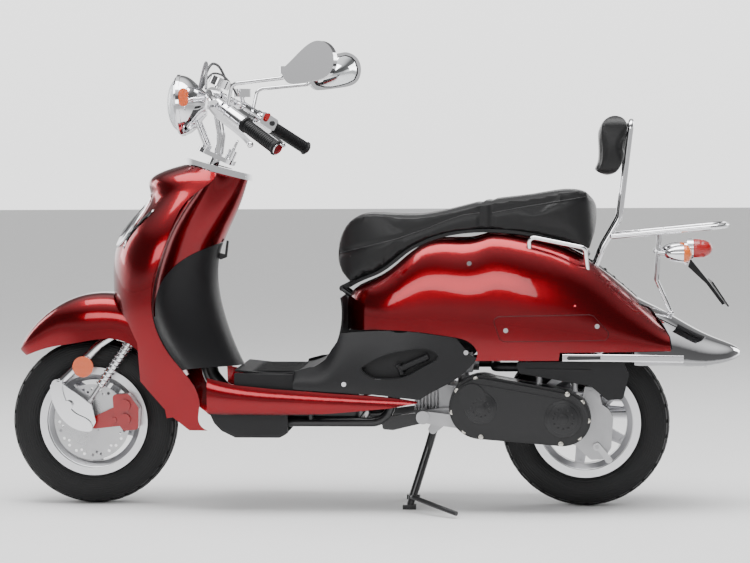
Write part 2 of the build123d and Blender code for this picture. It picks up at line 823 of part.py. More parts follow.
def peg_region(grow):
    """The side-view region that the footpeg covers fill."""
    with BuildSketch(side(300)) as region:
        with BuildLine():
            top = Spline(*peg_top)
            Polyline(top @ 1, (126, 287), (-60, 250), (-400, 250), (-400, 352 + grow), top @ 0)
        make_face()
    return region.sketch


grab_r = 6.0


def grab_route(hand):
    """The grab rail's corners: up from a frame rail, back along the seat and down again."""
    return [
        (406, hand * 102.1, 560.2),
        (406, hand * 148, 697),
        (546, hand * 148, 668),
        (556, hand * 103.0, 559.8),
    ]


def body_y(x, z):
    """How far from the middle the rear body's outer face lies at a side-view place."""
    for ahead, behind in zip(body_stations, body_stations[1:]):
        if ahead[0] <= x <= behind[0]:
            share = (x - ahead[0]) / (behind[0] - ahead[0])
            top_w, top_z, wide_w, wide_z, low_w = [a + (b - a) * share for a, b in zip(ahead[1:], behind[1:])]
    if z < wide_z:
        return wide_w
    lift = ((z - wide_z) / (top_z - wide_z)) ** (1 / 0.9)
    return top_w + (wide_w - top_w) * math.sqrt(1 - lift**2) ** 0.9


with BuildPart() as side_covers:
    loft([strip_section(cross(station[0]), body_side(station), skin) for station in body_stations])
    extrude(tail_region(-1), amount=600, mode=Mode.SUBTRACT)
    extrude(peg_region(0), amount=600, mode=Mode.SUBTRACT)
    plate([(468, 300), (1000, 300), (1000, 409), (482, 409)], -300, 300, mode=Mode.SUBTRACT)
    plate([(-66, 300), (130, 300), (130, 454), (-66, 454)], -300, 0, mode=Mode.SUBTRACT)
    # ribs inside bear on the rear rails
    for x, reach in ((330, 187), (520, 176)):
        bar((x, -rail_y - rail_r - 0.3, rail_high_z), (x, -150, rail_high_z), 6)
        bar((x, -148, rail_high_z + 2), (x, -reach, 520), 6)
    # holes let the grab rail and the backrest's hoop through
    for start, end in zip(grab_route(-1), grab_route(-1)[1:]):
        bar(start, end, grab_r + 0.4, mode=Mode.SUBTRACT)
    bar((558, -loop_y, 580), (592, -loop_y, 668), rack_rail_r + 0.4, mode=Mode.SUBTRACT)
    bar((-36, -38, 533), (seat_hinge[0], -38, seat_hinge[1]), 7, mode=Mode.SUBTRACT)
    both_sides()
side_covers.part.label = "side_covers"
export_step(side_covers.part, "parts/side_covers.step")

peg_stations = (
    # x, top half width, top z, bottom half width, bottom z
    (-186, 178, 353, 192, 318),
    (-136, 178, 372, 193, 312),
    (-100, 177, 398, 194, 310),
    (-60, 174, 470, 194, 307),
    (40, 177, 470, 194, 301),
    (120, 181, 470, 194, 289),
    (200, 187, 470, 195, 289),
    (280, 191, 470, 196, 289),
)
peg_hole = [(-14, 372), (40, 402), (110, 418), (170, 414), (182, 404), (150, 376), (90, 346), (40, 342), (-4, 354)]
peg_pivot = (84.0, -182.0, 367.0)
peg_end = (154.0, -182.0, 398.6)
peg_dish_y = 158.0
peg_r = 8.0
peg_pin_r = 3.0
peg_ear_t = 4.0
peg_ear_at = 11.0
peg_run = Vector(peg_end[0] - peg_pivot[0], 0, peg_end[2] - peg_pivot[2]).normalized()
peg_pin = Vector(peg_run.Z, 0, -peg_run.X)


def peg_place(out, across, y=None):
    """A point on the folded left peg: along it from the pivot, and along its hinge pin."""
    spot = Vector(*peg_pivot) + peg_run * out + peg_pin * across
    return (spot.X, peg_pivot[1] if y is None else y, spot.Z)


with BuildPart() as peg_covers:
    sections = []
    for x, top_w, top, low_w, low in peg_stations:
        outline = [
            (-top_w, top),
            (-(top_w + (low_w - top_w) * 0.6), top - (top - low) * 0.33),
            (-low_w, top - (top - low) * 0.68),
            (-low_w + 1, low),
        ]
        sections.append(strip_section(cross(x), outline, skin))
    loft(sections)
    with BuildSketch(side(0)) as outside:
        with BuildLine():
            top = Spline(*[(x, z - 1.5) for x, z in peg_top])
            Polyline(top @ 1, (126, 291), (10, 304), (-110, 311), (-188, 316), (-188, 360), (-136, 374), (-102, 398))
            Polyline((-102, 398), (-72, 440), (-66, 456), top @ 0)
        make_face()
    extrude(outside.sketch, amount=300, mode=Mode.INTERSECT)
    # an oval dish gives the folded peg its room
    with BuildSketch(side(-peg_dish_y)) as dish:
        with BuildLine():
            Spline(*peg_hole, periodic=True)
        make_face()
    extrude(dish.sketch, amount=60, mode=Mode.SUBTRACT)
    with BuildSketch(side(-peg_dish_y)) as dish_wall:
        with BuildLine():
            Spline(*peg_hole, periodic=True)
        make_face()
        with BuildLine():
            Spline(*[(76 + (x - 76) * 0.96, 380 + (z - 380) * 0.94) for x, z in peg_hole], periodic=True)
        make_face(mode=Mode.SUBTRACT)
    extrude(dish_wall.sketch, amount=32.5)
    extrude(dish.sketch, amount=3)
    # the peg's clevis stands in the dish
    for across in (-peg_ear_at, peg_ear_at):
        ear = Plane(origin=peg_place(0, across), x_dir=(0, -1, 0), z_dir=peg_pin)
        with BuildSketch(ear) as cheek:
            with Locations((-11, 0)):
                Rectangle(22, 16)
            Circle(8)
        extrude(cheek.sketch, amount=peg_ear_t / 2, both=True)
    bar(peg_place(0, -peg_ear_at), peg_place(0, peg_ear_at), peg_pin_r)
    both_sides()
peg_covers.part.label = "peg_covers"
export_step(peg_covers.part, "parts/peg_covers.step")

tail_stations = (
    # x, half width, bottom z, top z, crown width share
    (668, 158, 376, 545),
    (720, 146, 374, 516),
    (780, 126, 371, 484),
    (840, 101, 369, 450),
    (890, 74, 374, 428),
    (924, 46, 382, 414),
    (939, 24, 390, 405),
)
with BuildPart() as tail_fairing:
    # a pointed hood over the wheel
    sections = []
    for x, half_w, low, top in tail_stations:
        arch = [(across, top - below) for across, below in half_oval(half_w, top - low, 11, 0.95)]
        sections.append(strip_section(cross(x), arch, skin))
    loft(sections)
    with BuildSketch(side(300)) as ahead:
        with BuildLine():
            seam = Polyline(*tail_seam[:-1])
            Polyline(seam @ 1, (757, 408), (600, 408), (600, 640), seam @ 0)
        make_face()
    extrude(ahead.sketch, amount=600, mode=Mode.SUBTRACT)
    # a moulding runs forward along each side's lower edge
    for hand in (-1, 1):
        with BuildLine() as run:
            FilletPolyline(
                (488, hand * 193, 397),
                (580, hand * 183, 396),
                (680, hand * 161, 393),
                (790, hand * 127, 388),
                radius=200,
            )
        with BuildSketch(Plane(origin=run.wire() @ 0, z_dir=run.wire() % 0, x_dir=(0, 0, 1))) as rail:
            RectangleRounded(19, 9, 4)
        sweep(rail.sketch, path=run.wire())
    bar((846, -96, 377), (846, 96, 377), 4)
    plate([(849, 358), (856, 358), (858, 376), (848, 376)], -24, 24)
tail_fairing.part.label = "tail_fairing"
export_step(tail_fairing.part, "parts/tail_fairing.step")

with BuildPart() as tail_brackets:
    # a tapering black cover closes the top between the two side covers
    strips = []
    for x, half_w, z in ((566, 68, 628), (600, 50, 604), (650, 30, 562), (679, 22, 538)):
        with BuildSketch(cross(x)) as strip:
            with Locations((0, z)):
                Rectangle(2 * half_w, 4)
        strips.append(strip.sketch)
    loft(strips)
    for step in range(4):
        x = 598 + 22 * step
        z = 606 - 19.5 * step
        bar((x, -12, z), (x, 12, z), 5)
    # legs bear on the frame's rear cross tube
    for hand in (-1, 1):
        bar((654, hand * 14, 558), (661, hand * 14, tail_cross_z + 9.6), 5)
        bar((558, hand * loop_y, 580), (592, hand * loop_y, 668), rack_rail_r + 0.4, mode=Mode.SUBTRACT)
    # the number plate hangs on a bracket behind the lamp's bridge
    plate([(809, 614), (816, 633.4), (862, 576), (902, 520), (896, 516), (856, 570)], -6, 6)
    plate([(864, 578), (867, 580), (908, 518), (905, 516)], -78, 78)
tail_brackets.part.label = "tail_brackets"
export_step(tail_brackets.part, "parts/tail_brackets.step")

# ---------------------------------------------------------------- seat, bucket, tank

saddle_line = [(-50, 562), (-10, 583), (30, 600), (90, 645), (190, 691), (300, 703), (400, 695), (490, 672), (556, 640)]


def saddle(lift):
    return [(x, z + lift) for x, z in saddle_line]


def seat_plan(shrink, height=400.0):
    """The seat's outline seen from above, as a tall block to cut other forms with."""
    with BuildSketch(Plane.XY.offset(500)) as plan:
        half = seat_half_w - shrink
        with BuildLine():
            edge = Spline(
                (-92 + shrink, 0),
                (-84 + shrink, half * 0.42),
                (-40, half * 0.7),
                (70, half * 0.9),
                (260, half),
                (480, half),
                (556 - shrink, half * 0.88),
                (577 - shrink, half * 0.5),
                (577 - shrink, 0),
            )
            mirror(edge, about=Plane.XZ)
        make_face()
    return plan.sketch


with BuildPart() as seat_base:
    extrude(strip_section(side(seat_half_w), saddle(seat_lift), seat_base_t), amount=2 * seat_half_w)
    extrude(seat_plan(14), amount=400, mode=Mode.INTERSECT)
    # two knuckles turn on the hinge pin
    for low, high in ((-30, -14), (14, 30)):
        plate(
            [
                (seat_hinge[0] - 6, seat_hinge[1] - 2),
                (seat_hinge[0] + 4, seat_hinge[1] - 5),
                (-26, 580),
                (-30, 592),
                (seat_hinge[0], seat_hinge[1] + 8),
            ],
            low,
            high,
        )
        lug(seat_hinge, low, high, hinge_pin_r + 4)
        lug(seat_hinge, low - 1, high + 1, hinge_pin_r + running_gap, mode=Mode.SUBTRACT)
seat_base.part.label = "seat_base"
export_step(seat_base.part, "parts/seat_base.step")

seat_top = [(-80, 600), (-88, 650), (-74, 708), (-46, 741), (26, 752), (131, 750), (215, 765), (300, 785), (420, 800), (530, 811), (566, 803)]
with BuildPart() as seat_cushion:
    with BuildSketch(side(seat_half_w)) as cushion_side:
        with BuildLine():
            low = Spline(*saddle(seat_lift + 2))
            top = Spline(*seat_top)
            Line(low @ 0, top @ 0)
            Spline(top @ 1, (578, 780), (576, 720), low @ 1)
        make_face()
    extrude(cushion_side.sketch, amount=2 * seat_half_w)
    extrude(seat_plan(0), amount=400, mode=Mode.INTERSECT)
    base_room = strip_section(side(seat_half_w + 9), saddle(seat_lift), seat_base_t + cushion_gap)
    extrude(base_room, amount=2 * seat_half_w + 18, mode=Mode.SUBTRACT)
    plate([(-120, 530), (-12, 570), (-22, 606), (-120, 584)], -33, 33, mode=Mode.SUBTRACT)
seat_cushion.part.label = "seat_cushion"
export_step(seat_cushion.part, "parts/seat_cushion.step")

bucket_half_w = 84.0
bucket_outline = [(96, 500), (112, 474), (400, 474), (416, 490), (416, 682), (300, 692), (190, 680), (96, 636)]
bucket_inside = [(99, 500), (114, 477), (398, 477), (413, 491), (413, 800), (99, 800)]
with BuildPart() as seat_bucket:
    plate(bucket_outline, -bucket_half_w, bucket_half_w, corner=4)
    plate(bucket_inside, -bucket_half_w + skin, bucket_half_w - skin, mode=Mode.SUBTRACT)
seat_bucket.part.label = "seat_bucket"
export_step(seat_bucket.part, "parts/seat_bucket.step")

with BuildPart() as fuel_tank:
    with BuildSketch(Plane.XY.offset(rail_low_z + 9.5)) as tank_plan:
        with Locations((-128, 0)):
            RectangleRounded(200, 164, 18)
    extrude(tank_plan.sketch, amount=104)
    fillet(fuel_tank.faces().sort_by(Axis.Z)[-1].edges(), 10)
    bar((-180, -50, 330), (-180, -50, 340), 22)
fuel_tank.part.label = "fuel_tank"
export_step(fuel_tank.part, "parts/fuel_tank.step")

# ---------------------------------------------------------------- rack and lamps at the tail

with BuildPart() as rack:
    # the backrest's hoop rises from the seat's end, with its top bar across
    left_hoop = [(x, -loop_y, z) for x, z in loop_line]
    right_hoop = [(x, loop_y, z) for x, z in reversed(loop_line)]
    tube(left_hoop + right_hoop, loop_bends + [18, 18] + loop_bends[::-1], rack_rail_r)
    for hand in (-1, 1):
        bar((562, hand * loop_y, 592), (562, hand * 91.4, 558.7), rack_rail_r - 1)
    # a flat carrier reaches back from the hoop and closes round behind the lamp
    tube(
        [(612, -rack_y, 694), (904, -rack_y, 721), (904, rack_y, 721), (612, rack_y, 694)],
        44,
        rack_rail_r,
    )
    for hand in (-1, 1):
        bar((609, hand * loop_y, 698), (622, hand * rack_y, 695), rack_rail_r - 1)
    for x in (690, 750, 850):
        z = 694 + (x - 612) * 27 / 292
        bar((x, -rack_y, z), (x, rack_y, z), 5)
    # two struts stand on the tail fairing
    for hand in (-1, 1):
        tube([(737, hand * 32, 704), (729, hand * 32, 580), (766, hand * 32, 497.4)], 16, 5)
        with Locations((766, hand * 32, 497.4)):
            Sphere(7)
    # the lamp bridge, with a stem for the lamp and one for the number plate
    bar((731, -70, 652), (731, 70, 652), 5)
    tube([(731, 0, 652), (770, 0, 640), (797, 0, 655)], 14, 6)
    bar((785, 0, 646), (806, 0, 622), 5)
    # a grab rail beside the seat on each side reaches down to the frame
    for hand in (-1, 1):
        tube(grab_route(hand), 14, grab_r)
rack.part.label = "rack"
export_step(rack.part, "parts/rack.step")

with BuildPart() as backrest_pad:
    # a wide wedge-shaped pad clamped to the front of the hoop
    with BuildSketch(side(88)) as pad_side:
        with BuildLine():
            Spline(
                (571, 862),
                (583, 935),
                (594, 992),
                (622, 1004),
                (650, 992),
                (648, 930),
                (634, 862),
                (606, 846),
                periodic=True,
            )
        make_face()
    extrude(pad_side.sketch, amount=176)
    with BuildSketch(Plane.YZ.offset(500)) as pad_front:
        with Locations((0, 925)):
            RectangleRounded(176, 160, 42)
    extrude(pad_front.sketch, amount=300, mode=Mode.INTERSECT)
    for hand in (-1, 1):
        bar((634, hand * loop_y, 740), (663, hand * loop_y, 984), rack_rail_r + 0.6, mode=Mode.SUBTRACT)
        bar((660, hand * loop_y, 958), (664, hand * (loop_y - 26), 986), rack_rail_r + 3, mode=Mode.SUBTRACT)
    bar((663, -loop_y - 30, 984), (663, loop_y + 30, 984), rack_rail_r + 0.6, mode=Mode.SUBTRACT)
backrest_pad.part.label = "backrest_pad"
export_step(backrest_pad.part, "parts/backrest_pad.step")

lamp_axis_z = 660.0
indicator_y = 84.0
with BuildPart() as tail_lamp:
    # a round chrome housing behind the bridge, and a bullet housing each side for the indicators
    bar((806, 0, lamp_axis_z), (821.8, 0, lamp_axis_z), 26)
    bar((800, 0, lamp_axis_z), (808, 0, lamp_axis_z), 17)
    for hand in (-1, 1):
        with BuildSketch(side(hand * indicator_y)) as bullet:
            with BuildLine():
                back = Line((743, 651), (793, 651))
                shell = Spline((743, 651), (752, 663), (770, 671), (793, 674))
                Line(shell @ 1, (793, 651))
            make_face()
        revolve(bullet.sketch, axis=Axis((743, hand * indicator_y, 651), (1, 0, 0)))
        near, far = sorted((hand * 70.2, hand * 80))
        lug((731, 652), near, far, 7)
        bar((731, hand * 76, 652), (748, hand * indicator_y, 651), 6)
tail_lamp.part.label = "tail_lamp"
export_step(tail_lamp.part, "parts/tail_lamp.step")

with BuildPart() as tail_lenses:
    # a domed red lens, and an amber one in each bullet
    with BuildSketch(side(0)) as dome:
        with BuildLine():
            Line((822, lamp_axis_z), (822, lamp_axis_z + 24))
            curve = Spline((822, lamp_axis_z + 24), (846, lamp_axis_z + 23), (864, lamp_axis_z + 15), (871, lamp_axis_z))
            Line(curve @ 1, (822, lamp_axis_z))
        make_face()
    revolve(dome.sketch, axis=Axis((822, 0, lamp_axis_z), (1, 0, 0)))
    for hand in (-1, 1):
        with BuildSketch(side(hand * indicator_y)) as dome:
            with BuildLine():
                Line((793, 651), (793, 673))
                curve = Spline((793, 673), (806, 670), (812, 662), (815, 651))
                Line(curve @ 1, (793, 651))
            make_face()
        revolve(dome.sketch, axis=Axis((793, hand * indicator_y, 651), (1, 0, 0)))
tail_lenses.part.label = "tail_lenses"
export_step(tail_lenses.part, "parts/tail_lenses.step")

# ---------------------------------------------------------------- handlebar and controls


def grip_point(back, hand=1):
    """A point on the grip's centre line, measured inboard from its outer end."""
    return (
        grip_end[0] - grip_dir[0] * back,
        hand * (grip_end[1] - grip_dir[1] * back),
        grip_end[2] - grip_dir[2] * back,
    )


mirror_pivot = (-190.0, 295.0, 1110.0)
mirror_stem_r = 5.0
with BuildPart() as handlebar:
    # one bent chrome tube from grip to grip
    route = [
        grip_point(4, -1),
        grip_point(bar_corner_back, -1),
        (bar_shoulder[0], -bar_shoulder[1], bar_shoulder[2]),
        bar_shoulder,
        grip_point(bar_corner_back),
        grip_point(4),
    ]
    tube(route, [60, 42, 42, 60], bar_r)
    # the mirrors' stems rise from clamps beside the switch pods
    for hand in (-1, 1):
        bar(grip_point(188, hand), grip_point(202, hand), bar_r + 6)
        foot = Vector(*grip_point(195, hand))
        tube(
            [
                foot,
                foot + Vector(14, hand * 8, 66),
                (mirror_pivot[0], hand * mirror_pivot[1], mirror_pivot[2] - 17),
                (mirror_pivot[0], hand * mirror_pivot[1], mirror_pivot[2] + 9),
            ],
            [22, 7],
            mirror_stem_r,
        )
handlebar.part.label = "handlebar"
export_step(handlebar.part, "parts/handlebar.step")


def add_grip(hand, bore, inboard):
    """A rubber grip with end flanges, on its side of the bar."""
    outer, inner = grip_point(0, hand), grip_point(grip_len - inboard, hand)
    bar(inner, outer, grip_r)
    bar(inner, grip_point(grip_len - inboard - 6, hand), grip_r + 5)
    bar(grip_point(7, hand), outer, grip_r + 3)
    bar(grip_point(grip_len + 1, hand), grip_point(3, hand), bore, mode=Mode.SUBTRACT)


with BuildPart() as left_grip:
    add_grip(-1, bar_r + running_gap, 0)
left_grip.part.label = "left_grip"
export_step(left_grip.part, "parts/left_grip.step")

with BuildPart() as throttle_grip:
    add_grip(1, bar_r + 0.3, 1)
throttle_grip.part.label = "throttle_grip"
export_step(throttle_grip.part, "parts/throttle_grip.step")


def pod_frame(back, hand):
    """A plane at a place on the bar: local x outward along the bar, local y up, local z towards the rider."""
    outward = Vector(grip_dir[0], hand * grip_dir[1], grip_dir[2])
    toward = Vector(grip_dir[1], -hand * grip_dir[0], 0).normalized()
    return Plane(origin=grip_point(back, hand), x_dir=outward, z_dir=toward)


lever_run = (Vector(*lever_tip) - Vector(*lever_pivot)).normalized()
lever_gap = Vector(*grip_point(60)) - Vector(*lever_pivot)
lever_pull = (lever_gap - lever_run * lever_gap.dot(lever_run)).normalized()
lever_t = 8.0
lever_pin_r = 3.0
cheek_gap = 0.4
cheek_t = 4.0


def lever_frame(hand):
    """A plane at the lever's pivot: local x along the lever, local y towards the grip, local z up its pin."""
    run = Vector(lever_run.X, hand * lever_run.Y, lever_run.Z)
    pull = Vector(lever_pull.X, hand * lever_pull.Y, lever_pull.Z)
    return Plane(origin=(lever_pivot[0], hand * lever_pivot[1], lever_pivot[2]), x_dir=run, z_dir=run.cross(pull))


button_r = 6.5
button_bore_r = button_r + 0.4
starter_back = 142.0
kill_back = 165.0
with BuildPart() as switch_pods:
    for hand in (-1, 1):
        bar(grip_point(grip_len + 0.4, hand), grip_point(grip_len + pod_len, hand), pod_r)
        bar(grip_point(grip_len + 4, hand), grip_point(grip_len + 7, hand), pod_r + 0.8)
        frame_here = pod_frame(grip_len + pod_len / 2, hand)
        with BuildSketch(frame_here) as pad:
            RectangleRounded(50, 34, 6)
        extrude(pad.sketch, amount=28)
        # the lever's clevis reaches forward to the pivot
        pivot_frame = lever_frame(hand)
        clamp = Vector(*grip_point(220, hand))
        local = pivot_frame.to_local_coords(clamp)
        half = lever_t / 2 + cheek_gap + cheek_t
        reach = Vector(local.X, local.Y, 0)
        unit = reach.normalized()
        bar(grip_point(210, hand), grip_point(230, hand), bar_r + 6)
        web_start = pivot_frame.from_local_coords(unit * 17)
        bar(web_start, clamp, 8)
        for way in (-1, 1):
            level = pivot_frame.offset(way * (lever_t / 2 + cheek_gap + cheek_t / 2))
            with BuildSketch(level) as cheek:
                Circle(8)
                with Locations((unit.X * 9, unit.Y * 9)):
                    Rectangle(20, 15, rotation=math.degrees(math.atan2(unit.Y, unit.X)))
            extrude(cheek.sketch, amount=cheek_t / 2, both=True)
        with BuildSketch(pivot_frame) as web:
            with Locations((unit.X * 16, unit.Y * 16)):
                Rectangle(9, 15, rotation=math.degrees(math.atan2(unit.Y, unit.X)))
        extrude(web.sketch, amount=half, both=True)
        with BuildSketch(pivot_frame) as pin:
            Circle(lever_pin_r)
        extrude(pin.sketch, amount=half, both=True)
        bar(grip_point(grip_len - 1, hand), grip_point(236, hand), bar_r + running_gap, mode=Mode.SUBTRACT)
        bar(grip_point(226, hand), grip_point(242, hand), bar_r + 0.8, mode=Mode.SUBTRACT)
        for back in (starter_back, kill_back):
            hole = pod_frame(back, hand)
            with BuildSketch(hole.offset(16)) as bore:
                Circle(button_bore_r)
            extrude(bore.sketch, amount=20, mode=Mode.SUBTRACT)
    # the brake fluid reservoir sits over the right bracket
    clamp = Vector(*grip_point(220))
    tank_at = clamp + Vector(-6, -8, 32)
    bar(clamp + Vector(-3, -4, 19), tank_at + Vector(0, 0, 2), 7)
    bar(grip_point(205), grip_point(246), bar_r + 0.3, mode=Mode.SUBTRACT)
    with BuildSketch(Plane(origin=tank_at, x_dir=(0.7, 0.7, 0), z_dir=(0, 0, 1))) as tank:
        RectangleRounded(44, 34, 9)
    extrude(tank.sketch, amount=22)
    # the speedometer stands over the middle of the bar
    dial_dir = Vector(0.42, 0, 0.91).normalized()
    dial_foot = Vector(bar_centre[0], 0, bar_centre[2]) + dial_dir * (bar_r + 0.4)
    bar(dial_foot, dial_foot + dial_dir * 20, 9)
    bar(dial_foot + dial_dir * 12, dial_foot + dial_dir * 34, 27)
switch_pods.part.label = "switch_pods"
export_step(switch_pods.part, "parts/switch_pods.step")


def add_lever(hand):
    """A brake lever: an eye on its pin, a blade curving along the grip, and a ball at the end."""
    length = (Vector(*lever_tip) - Vector(*lever_pivot)).length
    here = lever_frame(hand)
    with BuildSketch(here) as blade:
        with BuildLine():
            front = Spline((0, -7), (40, -12), (100, -6), (length, -5))
            back = Spline((length, 5), (100, 6), (46, 3), (0, 7))
            Line(front @ 1, back @ 0)
            Line(back @ 1, front @ 0)
        make_face()
        Circle(7.5)
    extrude(blade.sketch, amount=lever_t / 2, both=True)
    with Locations(here.from_local_coords(Vector(length, 0, 0))):
        Sphere(8)
    with BuildSketch(here) as bore:
        Circle(lever_pin_r + running_gap)
    extrude(bore.sketch, amount=lever_t, both=True, mode=Mode.SUBTRACT)


with BuildPart() as left_lever:
    add_lever(-1)
left_lever.part.label = "left_lever"
export_step(left_lever.part, "parts/left_lever.step")

with BuildPart() as right_lever:
    add_lever(1)
right_lever.part.label = "right_lever"
export_step(right_lever.part, "parts/right_lever.step")

button_floor = 16.0
button_travel = 3.0


def add_button(back, hand, proud):
    """A round push button standing in its bore."""
    with BuildSketch(pod_frame(back, hand).offset(button_floor + button_travel + 0.5)) as face:
        Circle(button_r)
    extrude(face.sketch, amount=28 + proud - button_floor - button_travel - 0.5)


def add_turn_knob(back, hand, fin_len):
    """A round switch with a fin for the thumb, turning in its bore."""
    here = pod_frame(back, hand)
    with BuildSketch(here.offset(button_floor + 0.5)) as barrel:
        Circle(button_r)
    extrude(barrel.sketch, amount=28 - button_floor + 1)
    with BuildSketch(here.offset(28.6)) as fin:
        with Locations((0, fin_len / 2 - 4)):
            SlotOverall(fin_len, 9, rotation=90)
    extrude(fin.sketch, amount=7)


with BuildPart() as starter_button:
    add_button(starter_back, 1, 4)
starter_button.part.label = "starter_button"
export_step(starter_button.part, "parts/starter_button.step")

with BuildPart() as kill_switch:
    add_turn_knob(kill_back, 1, 22)
kill_switch.part.label = "kill_switch"
export_step(kill_switch.part, "parts/kill_switch.step")

with BuildPart() as horn_button:
    add_button(starter_back, -1, 4)
horn_button.part.label = "horn_button"
export_step(horn_button.part, "parts/horn_button.step")

with BuildPart() as turn_switch:
    add_turn_knob(kill_back, -1, 18)
turn_switch.part.label = "turn_switch"
export_step(turn_switch.part, "parts/turn_switch.step")

with BuildPart() as ignition_key:
    bar(on_axis(yoke_top_z + 8.5, -32), on_axis(yoke_top_z + 28, -32), key_r)
    with BuildSketch(Plane(origin=on_axis(yoke_top_z + 26, -32), x_dir=(0, 1, 0), z_dir=(0.9063, 0, -0.4226))) as bow:
        with Locations((0, 12)):
            RectangleRounded(22, 24, 8)
    extrude(bow.sketch, amount=2, both=True)
ignition_key.part.label = "ignition_key"
export_step(ignition_key.part, "parts/ignition_key.step")

mirror_outline = [(0, 6), (52, 46), (108, 70), (140, 52), (148, 14), (138, -8), (88, -26), (40, -32), (10, -26)]


def add_mirror(hand):
    """A teardrop mirror head facing rearward and inward, with its socket on the stem."""
    away = Vector(0.89, hand * 0.456, 0).normalized()
    flat = Plane(origin=(mirror_pivot[0], hand * mirror_pivot[1], mirror_pivot[2]), x_dir=away, z_dir=away.cross(Vector(0, 0, 1)))
    with BuildSketch(flat.offset(-8)) as shell:
        with BuildLine():
            Spline(*mirror_outline, periodic=True)
        make_face()
    extrude(shell.sketch, amount=16)
    socket = Vector(mirror_pivot[0], hand * mirror_pivot[1], mirror_pivot[2])
    bar(socket + Vector(0, 0, -7), socket + Vector(0, 0, 11), 11)
    bar(socket + Vector(0, 0, -20), socket + Vector(0, 0, 9.5), mirror_stem_r + running_gap, mode=Mode.SUBTRACT)


with BuildPart() as left_mirror:
    add_mirror(-1)
left_mirror.part.label = "left_mirror"
export_step(left_mirror.part, "parts/left_mirror.step")

with BuildPart() as right_mirror:
    add_mirror(1)
right_mirror.part.label = "right_mirror"
export_step(right_mirror.part, "parts/right_mirror.step")

# ---------------------------------------------------------------- headlight and front lenses

lamp_out = Vector(-math.cos(math.radians(lamp_tilt)), 0, -math.sin(math.radians(lamp_tilt)))
lamp_axis = Axis((lamp_rim_x, 0, lamp_z), lamp_out)
lamp_half_plane = Plane(origin=(lamp_rim_x, 0, lamp_z), x_dir=lamp_out, z_dir=(0, -1, 0))


def at_lamp(ahead, across, up):
    """A point ahead of the headlight's rim, across the machine and above the lamp's axis."""
    spot = Vector(lamp_rim_x, across, lamp_z) + lamp_out * ahead + Vector(lamp_out.Z, 0, -lamp_out.X) * up
    return (spot.X, spot.Y, spot.Z)


def lamp_profile(points, closing):
    """Revolves an outline of places ahead of the rim and away from the lamp's axis."""
    with BuildSketch(lamp_half_plane) as section:
        with BuildLine():
            curve = Spline(*points)
            Polyline(curve @ 1, *closing, curve @ 0)
        make_face()
    return section.sketch


with BuildPart() as headlight_shell:
    for hand in (-1, 1):
        bar(on_axis(yoke_top_z, 34, hand * 30), on_axis(yoke_top_z + 8, 34, hand * 30), 8)
        bar(on_axis(yoke_top_z + 7, 34, hand * 30), at_lamp(-42, hand * 30, -46), 6)
    outer = [(-6, lamp_r), (-24, lamp_r - 6), (-46, lamp_r - 26), (-lamp_depth, 30)]
    revolve(lamp_profile(outer, [(-lamp_depth, 0), (-6, 0)]), axis=lamp_axis)
    inner = [(-6, lamp_r - 3), (-24, lamp_r - 9), (-44, lamp_r - 29), (-lamp_depth + 3, 28)]
    revolve(lamp_profile(inner, [(-lamp_depth + 3, 0), (-6, 0)]), axis=lamp_axis, mode=Mode.SUBTRACT)
    # a deep chrome rim with a small peak over the lens
    rim = [(-8, lamp_r - 4), (-6, lamp_r + 2), (2, lamp_r + 3), (8, lamp_r - 3), (8, lamp_r - 7)]
    with BuildSketch(lamp_half_plane) as rim_face:
        Polygon(*rim, (-8, lamp_r - 7), align=None)
    revolve(rim_face.sketch, axis=lamp_axis)
headlight_shell.part.label = "headlight_shell"
export_step(headlight_shell.part, "parts/headlight_shell.step")

leg_disc = (-741.0, 362.0)
with BuildPart() as front_lenses:
    glass = [(4, lamp_r - 7.3), (20, 58), (31, 34), (36, 0)]
    revolve(lamp_profile(glass, [(32, 0), (0, lamp_r - 20), (0, lamp_r - 7.3)]), axis=lamp_axis)
    # an amber marker on each side of the bowl and a round reflector on each fork leg
    for hand in (-1, 1):
        with BuildSketch(Plane(origin=at_lamp(-20, hand * 74, 18), x_dir=(0, 0, 1), z_dir=(0, hand, 0))) as marker:
            SlotOverall(46, 24)
        extrude(marker.sketch, amount=11)
        near, far = sorted((hand * (leg_y + leg_r + 0.2), hand * (leg_y + leg_r + 8)))
        lug(leg_disc, near, far, 27)
    outer = [(-6, lamp_r), (-24, lamp_r - 6), (-46, lamp_r - 26), (-lamp_depth, 30)]
    revolve(lamp_profile(outer, [(-lamp_depth, 0), (-6, 0)]), axis=lamp_axis, mode=Mode.SUBTRACT)
front_lenses.part.label = "front_lenses"
export_step(front_lenses.part, "parts/front_lenses.step")

cable_r = 3.5


def cord_bends(points):
    """A bend radius for each corner of a cord, as wide as its shorter neighbour run allows."""
    radii = []
    for before, corner, after in zip(points, points[1:], points[2:]):
        into, away = Vector(*corner) - Vector(*before), Vector(*after) - Vector(*corner)
        half_turn = math.radians(into.get_angle(away)) / 2
        radii.append(round(0.45 * min(into.length, away.length) / math.tan(half_turn), 1))
    return radii


# three cords loop from the controls over the bar and into the back of the headlight
cable_routes = (
    [(-398, -196, 1070), (-404, -150, 1112), (-410, -90, 1140), (-424, -40, 1140), (-441, -22, 1076.0)],
    [(-392, 200, 1074), (-400, 150, 1114), (-408, 90, 1142), (-426, 44, 1142), (-443, 22, 1079.4)],
    [(-372, 190, 1062), (-384, 140, 1098), (-402, 84, 1118), (-428, 54, 1116), (-446, 36, 1072.5)],
)
with BuildPart() as control_cables:
    for route in cable_routes:
        radii = cord_bends(route)
        print("cord bends", radii)
        tube(route, radii, cable_r)
control_cables.part.label = "control_cables"
export_step(control_cables.part, "parts/control_cables.step")

# ---------------------------------------------------------------- engine unit

